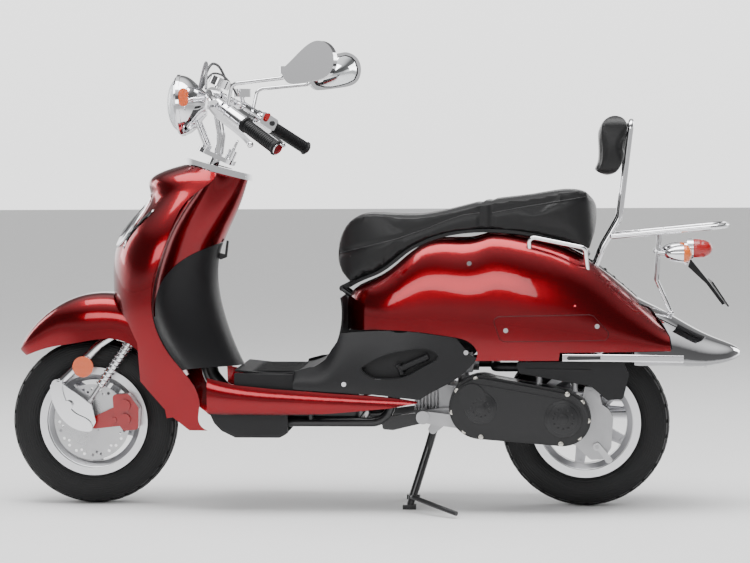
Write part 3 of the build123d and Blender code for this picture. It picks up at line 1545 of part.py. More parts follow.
def airbox_low(x):
    """The height of the airbox's slanting underside."""
    front, back = airbox_outline[6], airbox_outline[5]
    return front[1] + (x - front[0]) * (back[1] - front[1]) / (back[0] - front[0])


crank_case_r = 80.0
clutch_case_r = 70.0
crank_shaft_r = 9.0


def case_region(grow):
    """The belt case's side-view outline: two circles and the band between them."""
    with BuildSketch(side(0)) as region:
        with Locations(crank):
            Circle(crank_case_r + grow)
        with Locations(clutch):
            Circle(clutch_case_r + grow)
        make_hull()
    return region.sketch


def case_layer(grow, y_low, y_high, mode=Mode.ADD):
    """A slab of the belt case between two distances from the middle."""
    extrude(case_region(grow).moved(Location((0, y_high, 0))), amount=y_high - y_low, mode=mode)


gear_case = [(500, 268), (548, 276), (584, 274), (606, 258), (617, 236), (612, 160), (592, 132), (560, 130), (520, 168), (470, 178)]
shock_bracket = [(532, 262), (590, 262), (580, 312), (546, 316)]
with BuildPart() as engine_block:
    case_layer(0, belt_case_mid, belt_case_in)
    plate(gear_case, belt_case_in - 8, -60, corner=12)
    plate(shock_bracket, -101, -90, corner=4)
    # crankcase, barrel and head lie forward and level, finned for cooling
    lug(crank, belt_case_in, 60, 38)
    plate([(176, 222), (322, 232), (322, 306), (176, 318)], -70, 64, corner=8)
    plate([(112, 262), (182, 258), (182, 326), (112, 322)], -38, 38)
    for step in range(7):
        plate([(112 + 9 * step, 250), (116 + 9 * step, 250), (116 + 9 * step, 340), (112 + 9 * step, 340)], -52, 52)
    lug(crank, 58, 77.7, 66)
    # carburettor and inlet over the crankcase
    bar((236, 0, 300), (236, 0, 346), 15)
    plate([(212, 344), (262, 344), (262, 392), (212, 392)], -24, 24, corner=6)
    bar((262, 0, 368), (276, 0, 368), 20)
    # arms reach forward to the hanger's pin, one of them outside the frame
    for near, far in ((-89.5, -66), (60, 89.5)):
        plate([(122, 226), (152, 222), (214, 236), (214, 262), (148, 255), (124, 250)], near, far, corner=5)
        lug(engine_pivot, near, far, 15)
    lug(engine_pivot, -130, -105, 17)
    outer_arm = [(126, 226), (145, 224), (250, 208), (262, 200), (300, 222), (262, 240), (150, 254), (128, 252)]
    plate(outer_arm, -126, -105, corner=6)
    lug(engine_pivot, -128, 106, 8)
    # the rear axle, with its nut outside the hub
    bar((rear_axle_x, -62, axle_z), (rear_axle_x, 42, axle_z), axle_r)
    lug((rear_axle_x, axle_z), hub_half_w + 0.5, 42, 11)
    # shafts for the two pulleys, and pins for the rear shock, the brake arm and the stand
    lug(crank, -172, belt_case_mid, crank_shaft_r)
    lug(clutch, -172, belt_case_mid, crank_shaft_r)
    lug(rear_shock_foot, rear_shock_y - 24, rear_shock_y + 9, 5)
    lug(brake_pivot, -112, -96, 5)
    for hand in (-1, 1):
        near, far = sorted((hand * 54, hand * 66))
        plate([(148, 204), (170, 196), (206, 226), (206, 250), (176, 250)], near, far, corner=3)
        lug(stand_pivot, near, far, 10)
    lug(stand_pivot, -66, 66, 6)
    # bosses carry the airbox
    for x in (430, 520):
        bar((x, -118, 300), (x, -118, airbox_low(x) - 1.6), 8)
engine_block.part.label = "engine_block"
export_step(engine_block.part, "parts/engine_block.step")

cover_wall = 5.0
with BuildPart() as cvt_cover:
    case_layer(0, belt_case_out + 12, belt_case_mid)
    case_layer(-7, belt_case_out, belt_case_out + 12)
    # a raised band with ribs, and the round fan boss
    case_layer(-22, belt_case_out - 3, belt_case_out)
    lug((263, 297), belt_case_out - 8, belt_case_out, 34)
    case_layer(-cover_wall, belt_case_out + 14, belt_case_mid, mode=Mode.SUBTRACT)
    case_layer(-cover_wall - 7, belt_case_out + cover_wall, belt_case_out + 14, mode=Mode.SUBTRACT)
cvt_cover.part.label = "cvt_cover"
export_step(cvt_cover.part, "parts/cvt_cover.step")


def add_pulley(centre, radius):
    """Two coned discs on a hub."""
    lug(centre, -168, -130, crank_shaft_r + 9)
    for y_low, y_high in ((-166, -156), (-144, -133)):
        lug(centre, y_low, y_high, radius)
    lug(centre, -180, -120, crank_shaft_r + running_gap, mode=Mode.SUBTRACT)


with BuildPart() as drive_pulley:
    add_pulley(crank, 52)
drive_pulley.part.label = "drive_pulley"
export_step(drive_pulley.part, "parts/drive_pulley.step")

with BuildPart() as driven_pulley:
    add_pulley(clutch, 58)
driven_pulley.part.label = "driven_pulley"
export_step(driven_pulley.part, "parts/driven_pulley.step")

with BuildPart() as airbox:
    plate(airbox_outline, -150, -104, corner=8)
    plate([(398, 366), (560, 364), (560, 346), (398, 352)], -154, -150, corner=3)
    # a duct leads in to the carburettor
    tube([(392, -126, 368), (320, -126, 368), (320, 0, 368), (276.4, 0, 368)], 16, 12)
airbox.part.label = "airbox"
export_step(airbox.part, "parts/airbox.step")

with BuildPart() as muffler:
    bar((312, 130, 262), (668, 130, 258), 51)
    bar((300, 130, 262), (313, 130, 262), 34)
    bar((667, 130, 258), (680, 130, 258), 34)
    bar((680, 142, 240), (712, 142, 236), 11)
    tube([(148, 52.5, 296), (148, 118, 296), (196, 130, 280), (302, 130, 262)], [16, 40], 13)
muffler.part.label = "muffler"
export_step(muffler.part, "parts/muffler.step")

rear_shock_run = Vector(rear_shock_top[0] - rear_shock_foot[0], 0, rear_shock_top[1] - rear_shock_foot[1])


def along_rear_shock(distance):
    """A point on the rear shock's line, from its lower eye."""
    spot = Vector(rear_shock_foot[0], rear_shock_y, rear_shock_foot[1]) + rear_shock_run.normalized() * distance
    return (spot.X, spot.Y, spot.Z)


with BuildPart() as rear_shock_tube:
    top = rear_shock_run.length
    bar(along_rear_shock(80), along_rear_shock(top - 18), 17)
    bar(along_rear_shock(top - 25), along_rear_shock(top - 6), 8)
    bar(along_rear_shock(80), along_rear_shock(90), 21)
    bar(along_rear_shock(top - 30), along_rear_shock(top - 20), 21)
    lug(rear_shock_top, rear_shock_y - 8, rear_shock_y + 8, 11.5)
    bar(along_rear_shock(70), along_rear_shock(top - 18), 6 + rod_gap, mode=Mode.SUBTRACT)
    lug(rear_shock_top, rear_shock_y - 20, rear_shock_y + 20, 5 + running_gap, mode=Mode.SUBTRACT)
rear_shock_tube.part.label = "rear_shock_tube"
export_step(rear_shock_tube.part, "parts/rear_shock_tube.step")

with BuildPart() as rear_shock_rod:
    bar(along_rear_shock(6), along_rear_shock(150), 6)
    bar(along_rear_shock(9), along_rear_shock(22), 9)
    lug(rear_shock_foot, rear_shock_y - 8, rear_shock_y + 8, 12)
    lug(rear_shock_foot, rear_shock_y - 20, rear_shock_y + 20, 5 + shock_eye_play, mode=Mode.SUBTRACT)
rear_shock_rod.part.label = "rear_shock_rod"
export_step(rear_shock_rod.part, "parts/rear_shock_rod.step")

stand_r = 10.0
with BuildPart() as centre_stand:
    # a barrel on the pin, two legs with flat feet, and the tang for the rider's foot
    lug(stand_pivot, -51, 51, 12)
    for hand in (-1, 1):
        tube(
            [(stand_pivot[0], hand * 38, stand_pivot[1] - 4), (146, hand * 44, 152), (106, hand * 86, 26)],
            24,
            stand_r,
        )
        with Locations((100, hand * 88, 6)):
            Box(34, 20, 12)
        bar((106, hand * 86, 26), (101, hand * 88, 8), stand_r - 1)
    bar((125, -66, 92), (125, 66, 92), 8)
    tube([(107, -86, 28), (112, -150, 40), (186, -210, 22), (226, -238, 12)], [18, 40], 6)
    lug(stand_pivot, -70, 70, 6 + running_gap, mode=Mode.SUBTRACT)
centre_stand.part.label = "centre_stand"
export_step(centre_stand.part, "parts/centre_stand.step")

with BuildPart() as brake_arm:
    plate([(568, 170), (578, 176), (616, 132), (608, 122), (600, 124)], -109, -103, corner=3)
    lug(brake_pivot, -110, -101, 10)
    lug((609, 129), -114, -101, 5)
    lug(brake_pivot, -114, -95, 5 + running_gap, mode=Mode.SUBTRACT)
brake_arm.part.label = "brake_arm"
export_step(brake_arm.part, "parts/brake_arm.step")

peg_len = Vector(*peg_end) - Vector(*peg_pivot)


def add_footpeg():
    """A folding footpeg: a round bar with a rubber sleeve's end flange, and an eye on its pin."""
    bar(peg_place(2, 0), peg_place(peg_len.length, 0), peg_r)
    bar(peg_place(12, 0), peg_place(15, 0), peg_r + 1)
    bar(peg_place(0, -peg_ear_at + 2.6), peg_place(0, peg_ear_at - 2.6), 7.4)
    bar(peg_place(0, -peg_ear_at), peg_place(0, peg_ear_at), peg_pin_r + running_gap, mode=Mode.SUBTRACT)


with BuildPart() as left_footpeg:
    add_footpeg()
left_footpeg.part.label = "left_footpeg"
export_step(left_footpeg.part, "parts/left_footpeg.step")

with BuildPart() as right_footpeg:
    with BuildPart(mode=Mode.PRIVATE) as left_form:
        add_footpeg()
    mirror(left_form.part, about=Plane.XZ)
right_footpeg.part.label = "right_footpeg"
export_step(right_footpeg.part, "parts/right_footpeg.step")

# ---------------------------------------------------------------- screws that hold the panels

cover_screws = ((348, 465, 0.8), (574, 474, 0.8), (257, 630, 0.8))
peg_screws = ((249, 410, 193.4), (-57, 330, 194.0))
with BuildPart() as body_screws:
    for x, z, proud in cover_screws:
        here = Vector(x, -body_y(x, z), z)
        slope_x = body_y(x + 4, z) - body_y(x - 4, z)
        slope_z = body_y(x, z + 4) - body_y(x, z - 4)
        outward = Vector(-slope_x / 8, -1, -slope_z / 8).normalized()
        bar(here + outward * proud, here + outward * (proud + 3), 6)
    for x, z, y in peg_screws:
        lug((x, z), -y - 3.9, -y - 0.9, 6)
    both_sides()
body_screws.part.label = "body_screws"
export_step(body_screws.part, "parts/body_screws.step")
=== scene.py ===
import math

import bmesh
import bpy
from mathutils import Matrix, Vector
from mathutils.bvhtree import BVHTree


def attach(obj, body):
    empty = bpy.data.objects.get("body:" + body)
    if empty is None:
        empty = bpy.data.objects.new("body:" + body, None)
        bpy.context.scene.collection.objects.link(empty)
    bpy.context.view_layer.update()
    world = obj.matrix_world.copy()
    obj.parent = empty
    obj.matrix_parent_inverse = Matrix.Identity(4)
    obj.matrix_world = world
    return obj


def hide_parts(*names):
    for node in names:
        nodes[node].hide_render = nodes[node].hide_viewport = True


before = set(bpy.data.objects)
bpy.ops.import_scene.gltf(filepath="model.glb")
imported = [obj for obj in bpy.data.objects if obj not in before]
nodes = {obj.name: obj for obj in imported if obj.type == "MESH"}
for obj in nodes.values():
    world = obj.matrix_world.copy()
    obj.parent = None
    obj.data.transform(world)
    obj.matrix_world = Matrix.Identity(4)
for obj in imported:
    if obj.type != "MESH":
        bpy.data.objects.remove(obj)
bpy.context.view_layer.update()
scene = bpy.context.scene

# ---------------------------------------------------------------- camera
# A long lens on a low stand looks square at the scooter's left side,
# a little from the rear, level with the floorboard's height over the wheels.

target = Vector((0.00795, 0.0, 0.57667))
distance = 6.0
azimuth = math.radians(4.305)
elevation = math.radians(3.247)
roll = math.radians(-0.299)
back = Vector((
    math.sin(azimuth) * math.cos(elevation),
    -math.cos(azimuth) * math.cos(elevation),
    math.sin(elevation),
))
camera_data = bpy.data.cameras.new("camera")
camera_data.sensor_width = 36.0
camera_data.lens = 111.67
camera_data.clip_end = 60.0
camera = bpy.data.objects.new("camera", camera_data)
scene.collection.objects.link(camera)
camera.matrix_world = (
    Matrix.Translation(target + back * distance)
    @ (-back).to_track_quat("-Z", "Y").to_matrix().to_4x4()
    @ Matrix.Rotation(roll, 4, "Z")
)
scene.camera = camera

# ---------------------------------------------------------------- control cables
# Two braided brake hoses and a thin throttle cable leave the headlight bowl,
# loop up over the bar and drop into the lever brackets.

cable_r = 0.0035
cable_routes = {
    "left_brake_hose": [
        (-0.398, -0.196, 1.070), (-0.404, -0.150, 1.112), (-0.410, -0.090, 1.140),
        (-0.424, -0.040, 1.140), (-0.441, -0.022, 1.076),
    ],
    "right_brake_hose": [
        (-0.392, 0.200, 1.074), (-0.400, 0.150, 1.114), (-0.408, 0.090, 1.142),
        (-0.426, 0.044, 1.142), (-0.443, 0.022, 1.0794),
    ],
    "throttle_cable": [
        (-0.372, 0.190, 1.062), (-0.384, 0.140, 1.098), (-0.402, 0.084, 1.118),
        (-0.428, 0.054, 1.116), (-0.446, 0.036, 1.0725),
    ],
}


def grain_group():
    """Fine grain, patchy gloss and a slight change of shade, as any moulded or painted skin has."""
    group = bpy.data.node_groups.new("surface_grain", "ShaderNodeTree")
    sockets = (
        ("Colour", "NodeSocketColor"), ("Shade change", "NodeSocketFloat"),
        ("Gloss loss", "NodeSocketFloat"), ("Gloss change", "NodeSocketFloat"),
        ("Grain size", "NodeSocketFloat"), ("Grain depth", "NodeSocketFloat"),
    )
    for label, kind in sockets:
        group.interface.new_socket(label, in_out="INPUT", socket_type=kind)
    group.interface.new_socket("Colour", in_out="OUTPUT", socket_type="NodeSocketColor")
    group.interface.new_socket("Roughness", in_out="OUTPUT", socket_type="NodeSocketFloat")
    group.interface.new_socket("Normal", in_out="OUTPUT", socket_type="NodeSocketVector")
    new, link = group.nodes.new, group.links.new
    given, made = new("NodeGroupInput"), new("NodeGroupOutput")
    place = new("ShaderNodeTexCoord")
    patches = new("ShaderNodeTexNoise")
    patches.inputs["Scale"].default_value = 9.0
    patches.inputs["Detail"].default_value = 5.0
    link(place.outputs["Object"], patches.inputs["Vector"])
    fine = new("ShaderNodeTexNoise")
    fine.inputs["Detail"].default_value = 3.0
    link(place.outputs["Object"], fine.inputs["Vector"])
    link(given.outputs["Grain size"], fine.inputs["Scale"])
    centred = new("ShaderNodeMath")
    centred.operation = "SUBTRACT"
    centred.inputs[1].default_value = 0.5
    link(patches.outputs["Fac"], centred.inputs[0])
    rough = new("ShaderNodeMath")
    rough.operation = "MULTIPLY_ADD"
    link(centred.outputs[0], rough.inputs[0])
    link(given.outputs["Gloss change"], rough.inputs[1])
    link(given.outputs["Gloss loss"], rough.inputs[2])
    link(rough.outputs[0], made.inputs["Roughness"])
    shade = new("ShaderNodeMath")
    shade.operation = "MULTIPLY_ADD"
    shade.inputs[2].default_value = 1.0
    link(centred.outputs[0], shade.inputs[0])
    link(given.outputs["Shade change"], shade.inputs[1])
    tint = new("ShaderNodeVectorMath")
    tint.operation = "SCALE"
    link(given.outputs["Colour"], tint.inputs[0])
    link(shade.outputs[0], tint.inputs["Scale"])
    link(tint.outputs[0], made.inputs["Colour"])
    bump = new("ShaderNodeBump")
    bump.inputs["Distance"].default_value = 0.0004
    link(given.outputs["Grain depth"], bump.inputs["Strength"])
    link(fine.outputs["Fac"], bump.inputs["Height"])
    link(bump.outputs["Normal"], made.inputs["Normal"])
    return group


surface_grain = grain_group()


def finish(name, colour, gloss_loss, metal=0.0, coat=0.0, grain=(900.0, 0.1), shade=0.25, change=0.12, glance=0.5):
    """A material with its grain, patchy gloss and shade, and a clear coat where it has one."""
    material = bpy.data.materials.new(name)
    material.use_nodes = True
    shader = material.node_tree.nodes["Principled BSDF"]
    link = material.node_tree.links.new
    skin = material.node_tree.nodes.new("ShaderNodeGroup")
    skin.node_tree = surface_grain
    skin.name = "skin"
    values = (
        ("Colour", (*colour, 1)), ("Shade change", shade), ("Gloss loss", gloss_loss),
        ("Gloss change", change), ("Grain size", grain[0]), ("Grain depth", grain[1]),
    )
    for label, value in values:
        skin.inputs[label].default_value = value
    link(skin.outputs["Colour"], shader.inputs["Base Color"])
    link(skin.outputs["Roughness"], shader.inputs["Roughness"])
    link(skin.outputs["Normal"], shader.inputs["Normal"])
    shader.inputs["Metallic"].default_value = metal
    shader.inputs["Specular IOR Level"].default_value = glance
    shader.inputs["Coat Weight"].default_value = coat
    shader.inputs["Coat Roughness"].default_value = 0.03
    return material


def paint(piece, *materials):
    """Gives a piece, or a CAD node by name, its material."""
    owner = nodes[piece] if isinstance(piece, str) else piece
    if not owner.material_slots:
        owner.data.materials.append(materials[0])
    for place, old in enumerate(owner.material_slots):
        old.material = materials[min(place, len(materials) - 1)]


cable_sleeve = finish("cable_sleeve", (0.035, 0.035, 0.038), 0.42, grain=(1400.0, 0.9))
cable_steel_braid = finish("cable_steel_braid", (0.20, 0.20, 0.21), 0.34, metal=0.7, grain=(1100.0, 1.0))

for cable_name, route in cable_routes.items():
    curve = bpy.data.curves.new(cable_name, "CURVE")
    curve.dimensions = "3D"
    line = curve.splines.new("NURBS")
    line.points.add(len(route) - 1)
    for point, spot in zip(line.points, route):
        point.co = (*spot, 1.0)
    line.order_u = 3
    line.use_endpoint_u = True
    line.resolution_u = 16
    curve.bevel_depth = cable_r if "hose" in cable_name else cable_r * 0.8
    curve.bevel_resolution = 5
    curve.use_fill_caps = True
    cable = bpy.data.objects.new(cable_name, curve)
    scene.collection.objects.link(cable)
    curve.materials.append(cable_steel_braid if cable_name == "left_brake_hose" else cable_sleeve)
    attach(cable, "steering")
    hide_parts("control_cables")

# ---------------------------------------------------------------- studio
# A wide pale floor, a soft sky that is bright overhead with a grey band below,
# one long softbox above and one beside the left flank.

floor_mesh = bmesh.new()
bmesh.ops.create_grid(floor_mesh, x_segments=1, y_segments=1, size=30.0)
floor_data = bpy.data.meshes.new("studio_floor")
floor_mesh.to_mesh(floor_data)
floor_mesh.free()
studio_floor = bpy.data.objects.new("studio_floor", floor_data)
scene.collection.objects.link(studio_floor)
floor_paper = finish("floor_paper", (0.90, 0.90, 0.90), 0.75, grain=(300.0, 0.02), shade=0.02)
paint(studio_floor, floor_paper)

sky = bpy.data.worlds.new("studio_sky")
scene.world = sky
sky.use_nodes = True
sky_nodes, sky_link = sky.node_tree.nodes, sky.node_tree.links.new
direction = sky_nodes.new("ShaderNodeTexCoord")
split = sky_nodes.new("ShaderNodeSeparateXYZ")
sky_link(direction.outputs["Generated"], split.inputs[0])


def sky_ramp(levels):
    """Grey levels of the sky from the horizon to overhead."""
    ramp = sky_nodes.new("ShaderNodeValToRGB")
    sky_link(split.outputs["Z"], ramp.inputs[0])
    while len(ramp.color_ramp.elements) < len(levels):
        ramp.color_ramp.elements.new(0.5)
    for element, (height, level) in zip(ramp.color_ramp.elements, levels):
        element.position = height
        element.color = (level, level, level, 1)
    return ramp.outputs[0]


far_sky = sky_ramp(((0.0, 0.80), (0.13, 0.90), (0.22, 0.12), (0.60, 0.06), (0.80, 0.40), (1.0, 0.5)))
near_sky = sky_ramp(((0.0, 0.22), (0.08, 0.30), (0.20, 0.05), (0.55, 0.04), (0.80, 0.40), (1.0, 0.5)))
towards_back = sky_nodes.new("ShaderNodeMapRange")
towards_back.inputs["From Min"].default_value = -0.1
towards_back.inputs["From Max"].default_value = 0.6
sky_link(split.outputs["Y"], towards_back.inputs["Value"])
sky_mix = sky_nodes.new("ShaderNodeMix")
sky_mix.data_type = "RGBA"
sky_link(towards_back.outputs[0], sky_mix.inputs["Factor"])
sky_link(near_sky, sky_mix.inputs["A"])
sky_link(far_sky, sky_mix.inputs["B"])
sky_link(sky_mix.outputs["Result"], sky_nodes["Background"].inputs["Color"])
sky_nodes["Background"].inputs["Strength"].default_value = 2.8


def softbox(name, place, aim, width, height, power):
    """A large diffused lamp turned towards a point."""
    lamp = bpy.data.lights.new(name, "AREA")
    lamp.shape = "RECTANGLE"
    lamp.size, lamp.size_y = width, height
    lamp.energy = power
    stand = bpy.data.objects.new(name, lamp)
    scene.collection.objects.link(stand)
    towards = Vector(aim) - Vector(place)
    stand.matrix_world = Matrix.Translation(place) @ towards.to_track_quat("-Z", "Y").to_matrix().to_4x4()


softbox("overhead_softbox", (0.0, -0.4, 3.2), (0.0, 0.0, 0.5), 4.0, 1.6, 150.0)
softbox("left_softbox", (-0.6, -3.6, 1.9), (0.0, 0.0, 0.6), 3.4, 0.9, 60.0)
softbox("rear_softbox", (3.4, 2.4, 2.0), (0.3, 0.0, 0.6), 1.6, 1.6, 40.0)
softbox("front_softbox", (-3.6, 1.6, 1.8), (-0.4, 0.0, 0.6), 1.2, 1.6, 35.0)

# ---------------------------------------------------------------- red bodywork
# Apron, inner cover, sills, side covers and fender are moulded in one colour
# and sprayed with a deep candy red over silver flake, then cleared.


def candy_red(name):
    """Deep red lacquer over metal flake."""
    lacquer = finish(name, (0.19, 0.0006, 0.0045), 0.22, metal=0.94, coat=0.55, grain=(2600.0, 0.10), shade=0.3, change=0.08)
    tree = lacquer.node_tree
    new, link = tree.nodes.new, tree.links.new
    shader, skin = tree.nodes["Principled BSDF"], tree.nodes["skin"]
    place = new("ShaderNodeTexCoord")
    flake = new("ShaderNodeTexVoronoi")
    flake.inputs["Scale"].default_value = 1500.0
    link(place.outputs["Object"], flake.inputs["Vector"])
    glint = new("ShaderNodeMapRange")
    glint.inputs["To Min"].default_value = 0.85
    glint.inputs["To Max"].default_value = 1.25
    link(flake.outputs["Distance"], glint.inputs["Value"])
    sparkle = new("ShaderNodeVectorMath")
    sparkle.operation = "SCALE"
    link(skin.outputs["Colour"], sparkle.inputs[0])
    link(glint.outputs[0], sparkle.inputs["Scale"])
    link(sparkle.outputs[0], shader.inputs["Base Color"])
    return lacquer


body_red = candy_red("body_red")
for red_part in ("front_apron", "inner_cover", "side_sills", "side_covers", "front_fender"):
    paint(red_part, body_red)

# ---------------------------------------------------------------- black mouldings
# The knee panel, floor, belly pan and footpeg covers are textured black polypropylene,
# pressed from the mould with a fine spark grain and screwed to the frame's brackets.

satin_black = finish("satin_black", (0.007, 0.007, 0.008), 0.36, grain=(1500.0, 0.35), shade=0.35, glance=0.32)
floor_rubber = finish("floor_rubber", (0.006, 0.006, 0.007), 0.52, grain=(700.0, 0.5), shade=0.3, glance=0.28)
for black_part in ("knee_panel", "belly_pan", "peg_covers", "tail_brackets", "seat_bucket", "seat_base", "airbox"):
    paint(black_part, satin_black)
paint("floorboard", floor_rubber)

# ---------------------------------------------------------------- frame and bright metal
# The frame, tank and stand are black-enamelled steel. Rack, bar, fork, lamp bowls
# and levers are polished and chrome-plated.

frame_enamel = finish("frame_enamel", (0.010, 0.010, 0.011), 0.30, coat=0.3, grain=(260.0, 0.15), glance=0.35)
for dark_part in ("frame", "fuel_tank", "centre_stand"):
    paint(dark_part, frame_enamel)

bright_chrome = finish("bright_chrome", (0.80, 0.80, 0.82), 0.06, metal=1.0, grain=(60.0, 0.012), shade=0.06, change=0.05)
for chrome_part in (
    "apron_collar", "tail_fairing", "rack", "tail_lamp", "body_screws", "fork", "handlebar", "switch_pods",
    "headlight_shell", "left_lever", "right_lever", "left_mirror", "right_mirror",
    "front_links", "front_shock_tubes", "muffler", "rear_shock_tube",
):
    paint(chrome_part, bright_chrome)

bare_steel = finish("bare_steel", (0.50, 0.50, 0.51), 0.30, metal=1.0, grain=(500.0, 0.2), shade=0.3)
for steel_part in ("front_shock_rods", "rear_shock_rod", "brake_arm", "drive_pulley", "driven_pulley", "ignition_key"):
    paint(steel_part, bare_steel)

cast_alloy = finish("cast_alloy", (0.42, 0.42, 0.43), 0.42, metal=0.85, grain=(420.0, 0.7), shade=0.5)
paint("engine_block", cast_alloy)
case_black = finish("case_black", (0.010, 0.010, 0.011), 0.32, coat=0.1, grain=(800.0, 0.35), shade=0.3, glance=0.35)
paint("cvt_cover", case_black)

small_black = finish("small_black", (0.02, 0.02, 0.022), 0.36, grain=(1200.0, 0.2))
for knob in ("starter_button", "horn_button", "turn_switch"):
    paint(knob, small_black)
stop_red = finish("stop_red", (0.32, 0.004, 0.005), 0.25, coat=0.3, grain=(900.0, 0.1))
paint("kill_switch", stop_red)
caliper_red = finish("caliper_red", (0.30, 0.003, 0.006), 0.28, coat=0.6, grain=(500.0, 0.4))
paint("brake_caliper", caliper_red)
peg_rubber = finish("peg_rubber", (0.007, 0.007, 0.008), 0.55, grain=(600.0, 0.6), glance=0.28)
for rubber_part in ("left_footpeg", "right_footpeg", "left_grip", "throttle_grip"):
    paint(rubber_part, peg_rubber)

# ---------------------------------------------------------------- wheels
# Ten-inch cast rims are painted silver with a machined lip. Each tyre is a black
# tubeless moulding with four rows of tread blocks, shoulder sipes and bead ribs.

front_axle = Vector((-0.724, 0.0, 0.216))
rear_axle = Vector((0.548, 0.0, 0.216))
tyre_outer_r = 0.216


def radius_group():
    """The distance of a point from a wheel's axle, and rings turned into the surface."""
    group = bpy.data.node_groups.new("turned_rings", "ShaderNodeTree")
    for label in ("Axle X", "Axle Z", "Ring pitch"):
        group.interface.new_socket(label, in_out="INPUT", socket_type="NodeSocketFloat")
    group.interface.new_socket("Radius", in_out="OUTPUT", socket_type="NodeSocketFloat")
    group.interface.new_socket("Rings", in_out="OUTPUT", socket_type="NodeSocketFloat")
    new, link = group.nodes.new, group.links.new
    given, made = new("NodeGroupInput"), new("NodeGroupOutput")
    place, parts = new("ShaderNodeTexCoord"), new("ShaderNodeSeparateXYZ")
    link(place.outputs["Object"], parts.inputs[0])
    flat = new("ShaderNodeCombineXYZ")
    for axis, label in (("X", "Axle X"), ("Z", "Axle Z")):
        away = new("ShaderNodeMath")
        away.operation = "SUBTRACT"
        link(parts.outputs[axis], away.inputs[0])
        link(given.outputs[label], away.inputs[1])
        link(away.outputs[0], flat.inputs[axis])
    length = new("ShaderNodeVectorMath")
    length.operation = "LENGTH"
    link(flat.outputs[0], length.inputs[0])
    link(length.outputs["Value"], made.inputs["Radius"])
    count = new("ShaderNodeMath")
    count.operation = "DIVIDE"
    link(length.outputs["Value"], count.inputs[0])
    link(given.outputs["Ring pitch"], count.inputs[1])
    wave = new("ShaderNodeMath")
    wave.operation = "SINE"
    link(count.outputs[0], wave.inputs[0])
    link(wave.outputs[0], made.inputs["Rings"])
    return group


turned_rings = radius_group()


def ringed(material, axle, pitch, depth):
    """Adds turned or moulded rings about an axle to a material, and returns its radius socket."""
    tree = material.node_tree
    new, link = tree.nodes.new, tree.links.new
    rings = new("ShaderNodeGroup")
    rings.node_tree = turned_rings
    rings.inputs["Axle X"].default_value = axle.x
    rings.inputs["Axle Z"].default_value = axle.z
    rings.inputs["Ring pitch"].default_value = pitch
    cut = new("ShaderNodeBump")
    cut.inputs["Distance"].default_value = depth
    cut.inputs["Strength"].default_value = 0.6
    link(rings.outputs["Rings"], cut.inputs["Height"])
    link(tree.nodes["skin"].outputs["Normal"], cut.inputs["Normal"])
    link(cut.outputs["Normal"], tree.nodes["Principled BSDF"].inputs["Normal"])
    return rings.outputs["Radius"]


def banded(material, value, low, high, colour, socket="Base Color"):
    """Gives a material another colour where a value lies between two levels."""
    tree = material.node_tree
    new, link = tree.nodes.new, tree.links.new
    over, under, both = (new("ShaderNodeMath") for _ in range(3))
    mix = new("ShaderNodeMix")
    over.operation, under.operation, both.operation = "GREATER_THAN", "LESS_THAN", "MULTIPLY"
    over.inputs[1].default_value, under.inputs[1].default_value = low, high
    link(value, over.inputs[0])
    link(value, under.inputs[0])
    link(over.outputs[0], both.inputs[0])
    link(under.outputs[0], both.inputs[1])
    mix.data_type = "RGBA"
    shader = tree.nodes["Principled BSDF"]
    link(both.outputs[0], mix.inputs["Factor"])
    link(shader.inputs[socket].links[0].from_socket, mix.inputs["A"])
    mix.inputs["B"].default_value = (*colour, 1)
    link(mix.outputs["Result"], shader.inputs[socket])
    return both.outputs[0]


def placed(name, made, material, body, smooth_angle=40.0):
    """Finishes a bmesh as a piece at the origin, shaded smooth up to an angle, riding on a body."""
    data = bpy.data.meshes.new(name)
    made.to_mesh(data)
    made.free()
    piece = bpy.data.objects.new(name, data)
    scene.collection.objects.link(piece)
    data.materials.append(material)
    data.shade_smooth()
    data.set_sharp_from_angle(angle=math.radians(smooth_angle))
    if body:
        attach(piece, body)
    return piece


def ring_profile(points, axle, steps):
    """Spins a closed outline of (radius, y) about a wheel's axle."""
    made = bmesh.new()
    corners = [made.verts.new(axle + Vector((0.0, y, radius))) for radius, y in points]
    edges = [made.edges.new((a, b)) for a, b in zip(corners, corners[1:] + corners[:1])]
    bmesh.ops.spin(
        made, geom=corners + edges, cent=axle, axis=(0, 1, 0), angle=2 * math.pi,
        steps=steps, use_merge=True,
    )
    bmesh.ops.remove_doubles(made, verts=made.verts, dist=1e-6)
    bmesh.ops.recalc_face_normals(made, faces=made.faces)
    return made


tread_rows = (-0.0310, -0.0255, -0.0215, -0.0125, -0.0085, 0.0085, 0.0125, 0.0215, 0.0255, 0.0310)
tyre_side = ((0.2055, 0.0345), (0.197, 0.0395), (0.186, 0.0430), (0.172, 0.0450), (0.158, 0.0425), (0.1475, 0.0375), (0.1425, 0.0335), (0.1405, 0.0305), (0.1275, 0.0295), (0.1275, 0.0205), (0.143, 0.0235), (0.170, 0.0375), (0.194, 0.0275), (0.204, 0.0))


def tread_radius(y):
    """The crown's radius at a distance from the middle."""
    return tyre_outer_r - 0.0095 * (abs(y) / 0.031) ** 2


